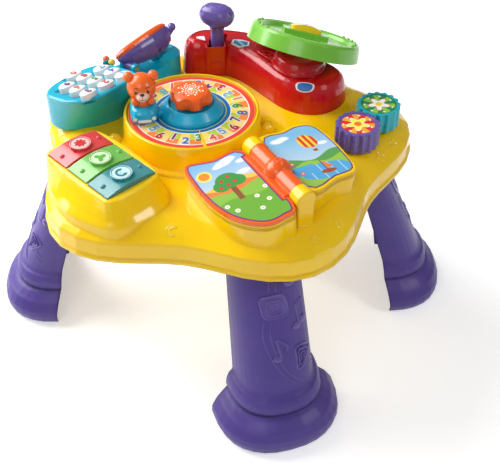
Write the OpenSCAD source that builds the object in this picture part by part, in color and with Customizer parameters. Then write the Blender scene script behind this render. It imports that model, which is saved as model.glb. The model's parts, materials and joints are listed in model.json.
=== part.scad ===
// Musical activity table: a five-lobed table top on four shell legs, with a telephone,
// a turning dial with a bear in a car, a driving console, three light-up keys,
// two meshed rollers and a book with a turning leaf. Millimetres, +Z up, the origin
// on the floor under the middle of the legs.

/* [Table top] */
// Mean radius of the lobed rim
table_r = 205; // [200:1:225]
// Swell of each lobe beyond the mean radius
lobe_wave = 18; // [14:1:20]
// Height of the lip above the floor
lip_z = 205; // [190:1:260]
// Height of the upright band above the lip
band_h = 23; // [20:1:30]
// Rise of the sloping shoulder from the band to the deck
slope_h = 14; // [10:1:16]
// Width of the sloping shoulder, seen from above
slope_run = 32; // [28:1:34]
// Wall of the moulded shells
wall = 2.8; // [2.2:0.1:3.4]

/* [Legs] */
// Direction of the right and left legs from the middle
leg_turn = 12.4; // [8:0.2:16]
// Angle between a right leg and the front leg
leg_cross = 75.7; // [70:0.1:85]
// Radius of the open side of the foot, at the floor
foot_chord_r = 208; // [200:1:216]
// Half the width of the foot at the floor
foot_half_w = 64; // [58:1:70]
// Depth of the foot from its open side outwards
foot_reach = 67; // [60:1:74]
// Radius of the open side where the leg meets the table
top_chord_r = 153; // [150:1:158]
// Half the width of the leg at the table
top_half_w = 38; // [36:1:42]
// Depth of the leg at the table
top_reach = 50; // [44:1:54]
// Wall of the legs
leg_wall = 3.2; // [2.6:0.1:4]

/* [Dial] */
// Centre of the dial, to the right of the middle
dial_x = -27; // [-30:1:-24]
// Centre of the dial, behind the middle
dial_y = -15; // [-18:1:-12]
// Radius of the printed dial plate
dial_r = 70; // [66:1:72]
// Height of the dial drum above the deck
drum_h = 30; // [26:1:34]
// Radius of the fixed spindle that the carrier turns on
spindle_r = 9; // [8:0.5:11]

/* [Keys] */
// Pitch of the three light-up keys
piano_pitch = 34.4; // [33:0.2:36]
// Width of a light-up key
piano_key_w = 31; // [28:0.5:32]
// Length of a light-up key
piano_key_l = 60; // [54:1:62]
// Travel of a light-up key
piano_travel = 3; // [2:0.5:3.5]
// Travel of a telephone key
phone_travel = 2; // [1.5:0.5:2.5]
// Height of the telephone keys above the keypad
phone_key_h = 8; // [6:0.5:9]

/* [Console] */
// Height of the gear end of the console above the deck
console_high = 44; // [40:1:50]
// Height of the wheel end of the console above the deck
console_low = 34; // [30:1:36]
// Radius of the steering wheel
wheel_r = 66; // [58:1:67]
// Depth of the steering wheel's rim
wheel_h = 19; // [16:1:22]
// Radius of the steering shaft
shaft_r = 7; // [6:0.5:9]

/* [Rollers] */
// Middle radius of the scalloped edge of a roller
roller_r = 23.2; // [20:0.1:24]
// Height of a roller
roller_h = 24; // [18:1:28]
// Radius of a roller's axle
axle_r = 4; // [3:0.5:6]

/* [Book] */
// Radius of the book's hinge barrel
barrel_r = 10.5; // [9.5:0.5:11.5]
// Radius of the book's hinge pin
book_pin_r = 3; // [2:0.5:4]
// Thickness of the turning leaf
leaf_t = 4; // [3:0.5:5]
// Slope of the book's pages, down from the spine
page_tilt = 5; // [4:0.5:7]

/* [Battery case] */
// Radius of a battery cell
cell_r = 7.1; // [6.9:0.1:7.3]
// Length of a battery cell
cell_l = 50; // [49:0.5:51]

/* [Hidden] */
$fn = 48;
eps = 0.01;

// Colours of the mouldings
yellow = [0.98, 0.80, 0.05];
purple = [0.38, 0.31, 0.60];
turquoise = [0.0, 0.68, 0.80];
red = [0.80, 0.08, 0.12];
green = [0.48, 0.76, 0.28];
orange = [0.97, 0.42, 0.10];
white = [0.96, 0.96, 0.94];
steel = [0.75, 0.76, 0.78];
dark = [0.15, 0.15, 0.17];

// Running fit of a shaft in its bore, and the gap between pieces that slide past
fit = 0.05;
gap = 0.4;
seat = 0.3;

// Rim and deck
lobes = 5;
lobe_turn = 18;
rim_steps = 60;
bead_h = 3.5;
bead_in = 2.2;
draft = 0.8;
deck_z = lip_z + band_h + slope_h;
deck_in = bead_in + draft + slope_run;
dial_c = [dial_x, dial_y];

function polar(r, a) = [r * cos(a), r * sin(a)];
function rim_r(a) = table_r + lobe_wave * cos(lobes * (a - lobe_turn));
function rim_ring(in, z) = [for (i = [0 : rim_steps - 1])
    let (a = i * 360 / rim_steps, p = polar(rim_r(a) - in, a)) [p.x, p.y, z]];

// A closed curve through a few points (Catmull-Rom), n points to each span
function through(p, n) = [for (i = [0 : len(p) - 1], j = [0 : n - 1])
    let (m = len(p), t = j / n,
        a = p[(i + m - 1) % m], b = p[i], c = p[(i + 1) % m], d = p[(i + 2) % m])
    b + 0.5 * t * ((c - a) + t * ((2 * a - 5 * b + 4 * c - d) + t * (3 * (b - c) + d - a)))];
function mid(p) = [for (k = [0, 1]) ([for (q = p) q[k]] * [for (q = p) 1]) / len(p)];
function shrink(p, c, s) = [for (q = p) c + s * (q - c)];
// An anticlockwise outline moved inwards by d
function inset(p, d) = [for (i = [0 : len(p) - 1])
    let (m = len(p), t = p[(i + 1) % m] - p[(i + m - 1) % m])
    p[i] + d * [-t.y, t.x] / norm(t)];
function mix(a, b, f) = [for (i = [0 : len(a) - 1]) a[i] + f * (b[i] - a[i])];
function ease(t) = let (u = max(0, min(1, t))) u * u * (3 - 2 * u);
// A rounded rectangle of half sizes a and b
function squircle(a, b, e, n) = [for (i = [0 : n - 1]) let (t = i * 360 / n + 180 / n)
    [a * sign(cos(t)) * pow(abs(cos(t)), 2 / e), b * sign(sin(t)) * pow(abs(sin(t)), 2 / e)]];
function lift(p, z) = [for (q = p) [q.x, q.y, z]];

// A closed skin through rings of equal length, from the lowest ring to the highest
module loft(rings) {
    n = len(rings[0]);
    m = len(rings);
    sides = [for (j = [0 : m - 2], i = [0 : n - 1]) let (k = (i + 1) % n)
        each [[j * n + i, (j + 1) * n + i, (j + 1) * n + k],
            [j * n + i, (j + 1) * n + k, j * n + k]]];
    low = [for (i = [0 : n - 1]) i];
    high = [for (i = [n - 1 : -1 : 0]) (m - 1) * n + i];
    polyhedron([for (r = rings) each r], concat([low], [high], sides), convexity = 6);
}

// ---- Table top ----
deck_profile = concat([[0, 0], [0, bead_h], [bead_in, bead_h + 1]],
    [for (t = [0 : 0.2 : 1]) [bead_in + draft + slope_run * t, band_h + slope_h * sin(90 * t)]]);
module rim_loft(profile) {
    loft([for (p = profile) rim_ring(p[0], lip_z + p[1])]);
}
// A closed skin whose section closes on itself: the last ring joins the first
module band(rings) {
    n = len(rings[0]);
    m = len(rings);
    polyhedron([for (r = rings) each r],
        [for (j = [0 : m - 1], i = [0 : n - 1]) let (k = (i + 1) % n, l = (j + 1) % m)
            each [[j * n + i, l * n + i, l * n + k], [j * n + i, l * n + k, j * n + k]]],
        convexity = 8);
}
module rim_skin(section) {
    band([for (p = section) rim_ring(p[0], lip_z + p[1])]);
}
rim_section = concat(deck_profile, [[deck_in, band_h + slope_h - wall],
    [bead_in + draft + wall + 0.45 * slope_run, band_h - wall + slope_h * 0.55],
    [bead_in + wall, band_h - wall], [bead_in + wall, 0]]);
module deck_plate() {
    translate([0, 0, deck_z - wall]) linear_extrude(wall)
        polygon([for (q = rim_ring(deck_in, 0)) [q.x, q.y]]);
}

// Dial drum
plate_t = 2;
drum_wall = 3;
rim_up = 2;
drum_top = deck_z + drum_h + rim_up;
plate_z = deck_z + drum_h;
drum_out = dial_r + 1 + drum_wall;
module drum_solid() {
    translate([dial_c.x, dial_c.y, 0]) rotate_extrude($fn = 96) polygon([
        [0, deck_z - wall], [drum_out + 9, deck_z - wall], [drum_out + 8, deck_z + 2],
        [drum_out + 3, deck_z + 5], [drum_out + 1.5, drum_top - 8], [drum_out, drum_top - 1],
        [drum_out - 1, drum_top], [0, drum_top]]);
}
module drum_hollow() {
    translate([dial_c.x, dial_c.y, 0]) {
        translate([0, 0, deck_z - wall - 1])
            cylinder(r = drum_out - drum_wall, h = drum_h - plate_t + 1, $fn = 96);
        translate([0, 0, plate_z - plate_t]) cylinder(r = dial_r + 1, h = 10, $fn = 96);
    }
}

// Three light-up keys on a raised block
piano_turn = 54;
piano_c = polar(150.5, 230.3);
piano_top = deck_z + 26;
piano_floor = piano_top - 8;
piano_foot = through([[-62, -10], [-55, -44], [-40, -69], [-8, -77], [25, -73], [42, -45],
    [46, 0], [40, 45], [22, 70], [-10, 72], [-33, 60], [-52, 30]], 3);
piano_head = through([[-39, -8], [-38.5, -36], [-35, -55], [-8, -58.5], [24, -55], [32, -37],
    [33, 0], [32, 37], [24, 55], [-8, 58], [-34, 55], [-38.5, 30]], 3);
module in_piano() {
    translate([piano_c.x, piano_c.y, 0]) rotate(piano_turn) children();
}
module piano_block(in, top) {
    steps = [[deck_z - 17, 0], [deck_z + 1, 0.12], [deck_z + 7, 0.42], [deck_z + 15, 0.7],
        [top - 4, 0.9], [top - 1.2, 0.97]];
    in_piano() loft(concat(
        [for (s = steps) lift(inset(mix(piano_foot, piano_head, s[1]), in), s[0])],
        [lift(inset(piano_head, in + 2.2), top)]));
}
module piano_pockets() {
    in_piano() for (k = [-1 : 1]) translate([-4 - piano_key_l / 2 - gap,
        k * piano_pitch - piano_key_w / 2 - gap, piano_floor])
        cube([piano_key_l + 2 * gap, piano_key_w + 2 * gap, 20]);
}

// Book: axis of the spine, pages sloping down on both sides
book_c = [82, -107];
book_turn = -50;
spine_z = deck_z + 30;
page_gap = 0.4;
barrel_half = 38;
post_l = 15;
bulge_r = 15;
left_page = through([[-46, -12.5], [-53, -46], [-60, -74], [-30, -80], [6, -79], [36, -70],
    [58, -50], [60, -28], [48, -12.5]], 4);
right_page = through([[-58, 12.5], [-66, 45], [-71, 66], [-64, 84], [-34, 88], [-4, 86],
    [26, 79], [31, 52], [35, 12.5]], 4);
module in_book() {
    translate([book_c.x, book_c.y, spine_z]) rotate(book_turn) children();
}
// Local x runs along the spine, local y across it; side is -1 for the left page
module on_page(side) {
    in_book() rotate([-side * page_tilt, 0, 0]) children();
}
module page_stack(side, outline) {
    c = mid(outline);
    top = -leaf_t / 2 - page_gap;
    on_page(side) {
        translate([0, 0, -48]) linear_extrude(42 + top) polygon(outline);
        translate([0, 0, top - 7]) linear_extrude(6) polygon(shrink(outline, c, 0.975));
        for (k = [0 : 2]) translate([0, 0, top - 4.6 + 2 * k - (k == 2 ? 0.9 : 0)])
            linear_extrude(k == 2 ? 1.5 : 1.1) polygon(outline);
    }
}
module book_solid() {
    page_stack(-1, left_page);
    page_stack(1, right_page);
    in_book() {
        translate([-50, -18, -46]) cube([90, 36, 46 - barrel_r - 3]);
        for (side = [-1, 1]) translate([side * (barrel_half + gap + post_l / 2), 0, 0]) {
            rotate([0, 90, 0]) cylinder(r = barrel_r + 0.5, h = post_l, center = true);
            translate([-post_l / 2, -barrel_r + 1, -46]) cube([post_l, 2 * barrel_r - 2, 46]);
        }
    }
}
// Room for the barrel, its bulge and the leaf's edge between the posts
module book_clear() {
    in_book() {
        rotate([0, 90, 0]) cylinder(r = barrel_r + 1, h = 2 * (barrel_half + gap), center = true);
        sphere(r = bulge_r + 1);
        rotate([0, 90, 0]) cylinder(r = book_pin_r + fit, h = 2 * (barrel_half + post_l) - 6,
            center = true);
    }
    on_page(1) translate([0, 0, -leaf_t / 2 - page_gap - 1])
        linear_extrude(5) polygon(shrink(right_page, mid(right_page), 0.92));
}
// The book's blocks end inside the shell and inside the rim
module book_trimmed() {
    intersection() {
        book_solid();
        rim_loft([[bead_in + 1, band_h - 1], [bead_in + 1, band_h + 60]]);
    }
}

// Rollers: two scalloped discs whose lobes mesh
roller_lobes = 16;
roller_wave = 1.3;
roller_gap = 0.4;
roller_c1 = [154, -3];
roller_dir = 65;
roller_c2 = roller_c1 + polar(2 * roller_r + roller_gap, roller_dir);
roller_z = deck_z + 2.5;
axle_base = deck_z - 9;

// Base tray and the screws that hold it and the legs
tray_z = lip_z;
tray_t = 3;
tray_top = tray_z + tray_t;
tray_in = bead_in + wall + 0.5;
screw_r = 1.6;
screw_head_r = 3.2;
screw_at = [for (a = [46, 83, 154.5, 268, 334.5]) polar(rim_r(a) - 38, a)];
leg_az = [leg_turn, leg_turn - leg_cross, leg_turn + 180, leg_turn + 180 - leg_cross];
leg_screw_at = [for (a = leg_az, s = [-1, 1])
    polar(top_chord_r + 13, a) + s * 22 * [-sin(a), cos(a)]];
boss_r = 4.6;
// Height of the shoulder over a place, so that a boss ends inside the shell
function shoulder_z(in) = lip_z + band_h + slope_h * sin(90 * max(0, min(1,
    (in - bead_in - draft) / slope_run)));
module bosses() {
    for (p = concat(screw_at, leg_screw_at)) translate([p.x, p.y, tray_top])
        cylinder(r = boss_r, h = shoulder_z(rim_r(atan2(p.y, p.x)) - norm(p) - boss_r) - 1.4 - tray_top);
}
module boss_bores() {
    for (p = concat(screw_at, leg_screw_at)) translate([p.x, p.y, tray_z - 9])
        cylinder(r = screw_r + fit, h = 9 + tray_t + 14);
}

module deck_shell() color(yellow) difference() {
    union() {
        rim_skin(rim_section);
        deck_plate();
        difference() {
            drum_solid();
            drum_hollow();
        }
        piano_block(0, piano_top);
        book_trimmed();
        bosses();
        translate([dial_c.x, dial_c.y, plate_z - plate_t - eps])
            cylinder(r = spindle_r, h = plate_t + 9.5);
        for (c = [roller_c1, roller_c2]) translate([c.x, c.y, axle_base])
            cylinder(r = axle_r + 5, h = roller_z - seat - axle_base);
    }
    translate([dial_c.x, dial_c.y, deck_z - wall - 1])
        cylinder(r = drum_out - drum_wall - 0.5, h = wall + 2, $fn = 96);
    translate([dial_c.x, dial_c.y, plate_z - plate_t - 6])
        cylinder(r = star_stem_r + fit, h = 40);
    piano_hollow();
    piano_pockets();
    book_clear();
    boss_bores();
    for (c = [roller_c1, roller_c2]) translate([c.x, c.y, axle_base + 2])
        cylinder(r = axle_r + fit, h = 20);
}
module piano_hollow() {
    in_piano() loft([for (s = [[deck_z - 19, 0.2], [deck_z + 4, 0.5], [piano_floor - wall, 0.8]])
        lift(inset(mix(piano_foot, piano_head, s[1]), 5), s[0])]);
}

// Battery case in the tray: three cells side by side
cell_n = 3;
cell_pitch = 2 * cell_r + 0.6;
case_c = [20, 62];
case_l = cell_l + 6;
case_w = cell_n * cell_pitch + 0.8;
case_h = 2 * cell_r + 4;
door_t = 2.4;
door_lip = 4;
post_r = 3.2;
board_c = [-20, -62];
board_s = [64, 44];
speaker_c = [-62, 10];
speaker_r = 22;
switch_c = [70, 30];
module tray_plate() {
    translate([0, 0, tray_z]) linear_extrude(tray_t) polygon([for (q = rim_ring(tray_in, 0)) [q.x, q.y]]);
}
module base_tray() color(yellow) difference() {
    union() {
        tray_plate();
        translate([case_c.x - case_l / 2 - 2, case_c.y - case_w / 2 - 2, tray_z])
            cube([case_l + 4, case_w + 4, case_h + door_t + 2]);
        for (sx = [-1, 1], sy = [-1, 1])
            translate([board_c.x + sx * (board_s.x / 2 - 5), board_c.y + sy * (board_s.y / 2 - 5), tray_z])
                cylinder(r = post_r, h = 12);
        translate([speaker_c.x, speaker_c.y, tray_z]) cylinder(r = speaker_r + 2.2, h = 10);
        translate([switch_c.x - 12, switch_c.y - 6, tray_z]) cube([24, 12, 8]);
    }
    translate([case_c.x - case_l / 2, case_c.y - case_w / 2, tray_z + door_t])
        cube([case_l, case_w, case_h]);
    translate([case_c.x - case_l / 2 - door_lip - gap, case_c.y - case_w / 2 - gap, tray_z - 1])
        cube([case_l + door_lip + gap + 6, case_w + 2 * gap, door_t + 1]);
    translate([case_c.x + case_l / 2 + 3, case_c.y, tray_z]) cylinder(r = screw_r + fit, h = 20);
    translate([speaker_c.x, speaker_c.y, tray_top]) cylinder(r = speaker_r + 0.3, h = 20);
    for (k = [-2 : 2]) translate([speaker_c.x - (16 - 2 * abs(k)), speaker_c.y + 6 * k - 1.2, tray_z - 1])
        cube([2 * (16 - 2 * abs(k)), 2.4, 10]);
    translate([switch_c.x - 9, switch_c.y - 2.6, tray_z - 1]) cube([18, 5.2, 20]);
    translate([switch_c.x - 10, switch_c.y - 4.4, tray_z + 2]) cube([20, 8.8, 4]);
    boss_bores();
}
module battery_door() color(yellow) difference() {
    union() {
        translate([case_c.x - case_l / 2 - door_lip, case_c.y - case_w / 2, tray_z])
            cube([case_l + door_lip + 6 - gap, case_w, door_t]);
        for (k = [0 : 4]) translate([case_c.x - 18 + 9 * k, case_c.y - 14, tray_z - 0.6])
            cube([3, 28, 1]);
    }
    translate([case_c.x + case_l / 2 + 3, case_c.y, tray_z - 1]) cylinder(r = screw_r + fit, h = 9);
}
module screw(l) {
    difference() {
        union() {
            cylinder(r = screw_r, h = l);
            translate([0, 0, -2]) cylinder(r1 = screw_head_r - 0.6, r2 = screw_head_r, h = 2);
        }
        for (a = [0, 90]) rotate(a) translate([-2, -0.4, -3]) cube([4, 0.8, 2]);
    }
}
module battery_door_screw() color(steel)
    translate([case_c.x + case_l / 2 + 3, case_c.y, tray_z]) screw(door_t + 10);
module case_screws() color(steel) {
    for (p = screw_at) translate([p.x, p.y, tray_z]) screw(tray_t + 12);
    for (p = leg_screw_at) translate([p.x, p.y, tray_z - leg_plate]) screw(leg_plate + tray_t + 12);
}
module battery_cells() color(dark) for (k = [0 : cell_n - 1])
    translate([case_c.x - cell_l / 2, case_c.y + (k - 1) * cell_pitch, tray_z + door_t + 0.2 + cell_r])
        rotate([0, 90, 0]) {
            cylinder(r = cell_r, h = cell_l - 1.4);
            translate([0, 0, cell_l - 1.4 - eps]) cylinder(r = 2.7, h = 1.4);
        }
module battery_contacts() color(steel) for (k = [0 : cell_n - 1], s = [-1, 1])
    translate([case_c.x + s * (case_l / 2 - 0.7) - 0.5, case_c.y + (k - 1) * cell_pitch - 4.5,
        tray_z + door_t + 2]) union() {
            cube([1, 9, 10]);
            translate([s > 0 ? -1.8 : 0.9, 2.5, 2.5]) cube([1.9, 4, 5]);
        }
module circuit_board() color(green) union() {
    difference() {
        translate([board_c.x - board_s.x / 2, board_c.y - board_s.y / 2, tray_z + 12])
            cube([board_s.x, board_s.y, 1.6]);
        for (sx = [-1, 1], sy = [-1, 1])
            translate([board_c.x + sx * (board_s.x / 2 - 5), board_c.y + sy * (board_s.y / 2 - 5), tray_z])
                cylinder(r = 1.2, h = 20);
    }
    translate([board_c.x - 8, board_c.y - 8, tray_z + 13.6]) cube([16, 16, 2]);
    for (k = [-1, 1]) translate([board_c.x + 20, board_c.y + 10 * k, tray_z + 13.6]) cylinder(r = 4, h = 8);
}
module speaker() color(dark) translate([speaker_c.x, speaker_c.y, tray_top]) union() {
    difference() {
        cylinder(r = speaker_r, h = 3);
        translate([0, 0, -1]) cylinder(r1 = speaker_r - 4, r2 = speaker_r - 10, h = 3);
    }
    translate([0, 0, 3 - eps]) cylinder(r1 = speaker_r - 2, r2 = 10, h = 6);
    translate([0, 0, 9 - 2 * eps]) cylinder(r = 10, h = 5);
}
switch_travel = 6;
module power_switch() color(dark) union() {
    translate([switch_c.x - 9.6, switch_c.y - 4, tray_z + 2.3]) cube([12.6, 8, 3.2]);
    translate([switch_c.x - 8.6, switch_c.y - 2.2, tray_z - 1.6]) cube([8, 4.4, 5]);
}

// ---- Legs ----
leg_plate = 4;
leg_pts = 17;
function leg_arc(c, hw, reach) = [for (i = [0 : leg_pts - 1]) let (a = -90 + 180 * i / (leg_pts - 1))
    [c + reach * pow(abs(cos(a)), 0.78), hw * sign(sin(a)) * pow(abs(sin(a)), 0.86)]];
function leg_outer(s) = lift(leg_arc(s[1], s[2], s[3]), s[0]);
// The hollow: the same outline less the wall, run out past the open side
function leg_inner(s) = let (hw = s[2] - leg_wall)
    lift(concat([[s[1] - 4, -hw]], leg_arc(s[1], hw, s[3] - leg_wall), [[s[1] - 4, hw]]), s[0]);
// Height, radius of the open side, half width, depth: the foot, the cuff and the shank
shank_z = 67;
leg_foot = [
    [0, foot_chord_r, foot_half_w, foot_reach - 2],
    [6, foot_chord_r - 0.4, foot_half_w + 4.5, foot_reach + 2],
    [14, foot_chord_r - 1.2, foot_half_w + 7, foot_reach + 4],
    [22, foot_chord_r - 2.6, foot_half_w + 6, foot_reach + 4.5],
    [32, foot_chord_r - 5, foot_half_w - 1, foot_reach + 2],
    [40, foot_chord_r - 7.4, foot_half_w - 10, foot_reach - 6],
    [43, foot_chord_r - 8.4, foot_half_w - 14, foot_reach - 11],
    [46, foot_chord_r - 9, foot_half_w - 12, foot_reach - 8],
    [54, foot_chord_r - 10, foot_half_w - 13, foot_reach - 7.5],
    [61, foot_chord_r - 11, foot_half_w - 16, foot_reach - 10],
    [64, foot_chord_r - 11.6, foot_half_w - 19.5, foot_reach - 14]];
function shank(f) = [shank_z + f * (lip_z - leg_plate - shank_z),
    (foot_chord_r - 12) * (1 - f) + top_chord_r * f,
    (foot_half_w - 20.5) * (1 - f) + top_half_w * f,
    (foot_reach - 16.5) * (1 - f) + (top_reach - 17) * f + 8 * f * (1 - f)];
leg_shank = [for (f = [0, 0.1, 0.3, 0.5, 0.7, 0.85, 1]) shank(f)];
leg_top = concat([lip_z], [for (k = [1 : 3]) leg_shank[6][k]]);
leg_stations = concat(leg_foot, leg_shank);
module leg() difference() {
    loft([for (s = concat(leg_stations, [leg_top])) leg_outer(s)]);
    loft([for (s = concat([concat([-2], [for (k = [1 : 3]) leg_foot[0][k]])], leg_stations))
        leg_inner(s)]);
    for (s = [-1, 1]) translate([top_chord_r + 13, s * 22, lip_z - 20])
        cylinder(r = screw_r + fit, h = 40);
}
module leg_right() color(purple) rotate(leg_az[0]) leg();
module leg_front() color(purple) rotate(leg_az[1]) leg();
module leg_left() color(purple) rotate(leg_az[2]) leg();
module leg_back() color(purple) rotate(leg_az[3]) leg();

// ---- Dial ----
star_stem_r = 4;
star_travel = 2.5;
collar_r = 35;
collar_h = 12.5;
ring_z = plate_z + seat;
star_z = plate_z + 13;
car_az = 201;
car_c = dial_c + polar(52, car_az);
car_face = -72;
module dial_plate() color(white) translate([dial_c.x, dial_c.y, plate_z - plate_t]) difference() {
    cylinder(r = dial_r, h = plate_t, $fn = 96);
    translate([0, 0, -1]) cylinder(r = spindle_r + 0.3, h = 10);
}
module carrier_ring() color(turquoise) union() {
    translate([dial_c.x, dial_c.y, ring_z]) rotate_extrude($fn = 96) polygon([
        [spindle_r + fit, 0], [collar_r, 0], [collar_r, 2.5], [collar_r - 1, 4.5],
        [collar_r - 7, collar_h - 1.5], [collar_r - 8.5, collar_h], [collar_r - 10, collar_h],
        [collar_r - 10.6, collar_h - 1], [collar_r - 10.6, 8], [spindle_r + fit, 8]]);
    translate([dial_c.x, dial_c.y, ring_z + 0.4]) rotate(car_az)
        translate([collar_r - 6, -7, 0]) cube([9.5, 14, 5]);
}
module in_car() {
    translate([car_c.x, car_c.y, ring_z + 0.4]) rotate(car_face) children();
}
seat_r = 11;
seat_h = 12;
car_len = 19;
car_wide = 14.5;
module car_body() color(turquoise) difference() {
    in_car() {
        loft([for (s = [[0, 0.9, 0.9], [2, 1, 1], [8, 1.02, 1.02], [12, 0.97, 0.98], [15, 0.85, 0.88],
                [16.5, 0.72, 0.74]])
            lift(squircle(car_len * s[1], car_wide * s[2], 3.2, 32), s[0])]);
        translate([car_len - 5, -7.5, 4]) cube([6.2, 15, 4]);
        for (k = [-1, 1]) translate([car_len - 6, 10 * k, 8]) rotate([0, 90, 0]) cylinder(r = 2.8, h = 5.6);
    }
    in_car() translate([-3, 0, seat_h]) cylinder(r = seat_r + 0.3, h = 20);
    translate([dial_c.x, dial_c.y, ring_z + 0.4]) rotate(car_az)
        translate([0, -7, -1]) cube([collar_r + 3.5, 14, 6]);
}
module bear_figure() color(orange) in_car() translate([-3, 0, seat_h]) intersection() {
    union() {
        cylinder(r = seat_r, h = 5);
        translate([0, 0, 6]) sphere(r = seat_r);
        translate([1, 0, 23]) sphere(r = 15.5);
        for (k = [-1, 1]) {
            translate([-1, 13 * k, 35]) sphere(r = 5.6);
            translate([8, 8 * k, 9.6]) sphere(r = 4.6);
        }
        translate([13, 0, 19]) sphere(r = 6.5);
    }
    translate([-40, -40, 0]) cube([80, 80, 80]);
}
module star_button() color(orange) translate([dial_c.x, dial_c.y, 0]) union() {
    translate([0, 0, star_z]) intersection() {
        linear_extrude(30) polygon([for (i = [0 : 71]) polar(20.5 + 2.4 * cos(30 * i), 5 * i)]);
        rotate_extrude($fn = 96) polygon([[0, 0], [21.6, 0], [23.2, 1.5], [23.2, 8], [22, 11],
            [19, 13.2], [14, 14.4], [0, 15]]);
    }
    translate([0, 0, plate_z - plate_t - 4]) cylinder(r = star_stem_r, h = star_z - plate_z + plate_t + 5);
}

// ---- Console ----
console_foot = through([[-69, 124], [-66, 110], [-56, 101], [-42, 101], [-16, 110], [8, 99],
    [36, 75], [60, 54], [82, 43.5], [104, 44], [122, 55], [133, 74], [133, 94], [120, 109],
    [98, 121], [72, 137], [44, 151], [10, 158], [-28, 156], [-57, 145]], 3);
console_gear = [-25, 119];
gear_low = 24;
gear_r = 8.5;
gear_pin_r = 4;
gear_swing = 15;
boot_c = [76.4, 92];
boot_r = 30;
wheel_c = [82.8, 106.4, deck_z + 70];
wheel_az = 66;
wheel_lean = 24.3;
function console_top(p) = deck_z + console_high - (console_high - console_low) * (p.x + 50) / 160;
console_fall = atan((console_high - console_low) / 160);
module on_console(p) {
    translate([p.x, p.y, console_top(p)]) rotate([0, console_fall, 0]) children();
}
console_steps = [[0, 0], [0.6, 0.25], [1.6, 0.5], [3.2, 0.7], [5.6, 0.86], [9, 0.96], [13, 1]];
module in_wheel() {
    translate(wheel_c) rotate([0, wheel_lean, wheel_az]) rotate(12 - wheel_az) children();
}
gear_z = console_top(console_gear) - gear_low;
// The rounded shoulder all round, and the flat-topped core inside it
console_core = console_steps[6][0];
panel_step = 0.4;
module console_body() {
    band(concat([for (s = console_steps) [for (q = inset(console_foot, s[0]))
        [q.x, q.y, deck_z + s[1] * (console_top(q) - deck_z)]]],
        [lift(inset(console_foot, console_core), deck_z)]));
    difference() {
        translate([0, 0, deck_z]) linear_extrude(console_high + 20)
            polygon(inset(console_foot, console_core - 1.5));
        on_console([0, 0]) translate([-300, -300, -panel_step]) cube([600, 600, 100]);
    }
}
module console_shell() color(red) difference() {
    console_body();
    translate([console_gear.x, console_gear.y, gear_z]) {
        translate([-gear_r - 0.8, -gear_r - 8.5, -10]) cube([2 * gear_r + 1.6, 2 * gear_r + 17, 60]);
        rotate([0, 90, 0]) cylinder(r = gear_pin_r + fit, h = 2 * gear_r + 14, center = true);
    }
    in_wheel() translate([0, 0, -75]) cylinder(r = shaft_r + fit, h = 60);
    for (p = badge_at) on_console(p) translate([0, 0, -1.2]) linear_extrude(5) badge(0);
}
badge_at = [[3, 119]];
module badge(in) {
    polygon(inset([[-10, 6], [-11, -3], [0, -9], [11, -3], [10, 6], [0, 8]], in));
}
module console_badges() color(turquoise) for (p = badge_at)
    on_console(p) translate([0, 0, -1.2]) linear_extrude(1.6) badge(0);
module column_boot() color(red) difference() {
    on_console(boot_c) translate([0, 0, 0.1]) rotate_extrude($fn = 96) polygon([[0, 0],
        [boot_r + 2, 0], [boot_r + 2, 2],
        [boot_r + 0.5, 3.2], [boot_r - 0.5, 8], [boot_r - 3, 13], [boot_r - 7, 16], [0, 17]]);
    in_wheel() {
        translate([0, 0, -75]) cylinder(r = shaft_r + fit, h = 80);
        translate([0, 0, -hub_low - 0.6]) cylinder(r = hub_r + 2, h = 30);
    }
}
module gear_lever() color(purple) translate([console_gear.x, console_gear.y, gear_z]) union() {
    rotate([0, 90, 0]) cylinder(r = gear_pin_r, h = 2 * gear_r + 13, center = true);
    translate([0, 0, -6]) cylinder(r = gear_r - 0.4, h = 20);
    rotate_extrude() polygon([[0, 10], [gear_r, 10], [gear_r - 0.6, 38], [gear_r + 1, 44],
        [gear_r + 5, 48], [gear_r + 5, 54], [0, 54]]);
    translate([0, 0, 0]) loft([for (s = [[43, 0.4], [46, 0.68], [49, 0.86], [53, 0.97], [57, 1],
        [61, 0.96], [65, 0.84], [68, 0.62], [69.5, 0.35]])
        lift(rot(squircle(21.5 * s[1], 14.5 * s[1], 2.4, 28), -12), s[0])]);
}
function rot(p, a) = [for (q = p) [q.x * cos(a) - q.y * sin(a), q.x * sin(a) + q.y * cos(a)]];
horn_travel = 2;
hub_r = 16;
hub_low = 16;
horn_c = [0, 8];
module steering_wheel() color(green) in_wheel() difference() {
    union() {
        rotate_extrude($fn = 96) polygon([[wheel_r - 16, -6], [wheel_r - 14, -1.5], [wheel_r - 9, 0],
            [wheel_r - 4.5, -0.6], [wheel_r - 2.4, -3], [wheel_r, -wheel_h], [wheel_r - 2, -wheel_h],
            [wheel_r - 5, -4.5], [wheel_r - 14, -9], [wheel_r - 16, -9]]);
        translate([0, 0, -9]) cylinder(r = wheel_r - 15, h = 4, $fn = 96);
        translate([0, 0, -hub_low]) cylinder(r = hub_r, h = hub_low - 7);
        translate([horn_c.x - 26, horn_c.y - 12, -9]) cube([52, 24, 9]);
        for (side = [0, 180], k = [-3 : 3]) rotate(side + 10 * k)
            translate([wheel_r - 8.5, 0, -0.6]) sphere(r = 2.2, $fn = 24);
    }
    for (s = [-1, 1]) translate([0, horn_c.y + 28 * s, 0]) translate([-17, -10, -20]) cube([34, 20, 40]);
    translate([horn_c.x - 18.4, horn_c.y - 7.9, -4]) cube([36.8, 15.8, 20]);
    translate([0, 0, -17]) cylinder(r = shaft_r + fit, h = 10);
}
module steering_shaft() color(steel) in_wheel() translate([0, 0, -42]) cylinder(r = shaft_r, h = 35);
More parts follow.
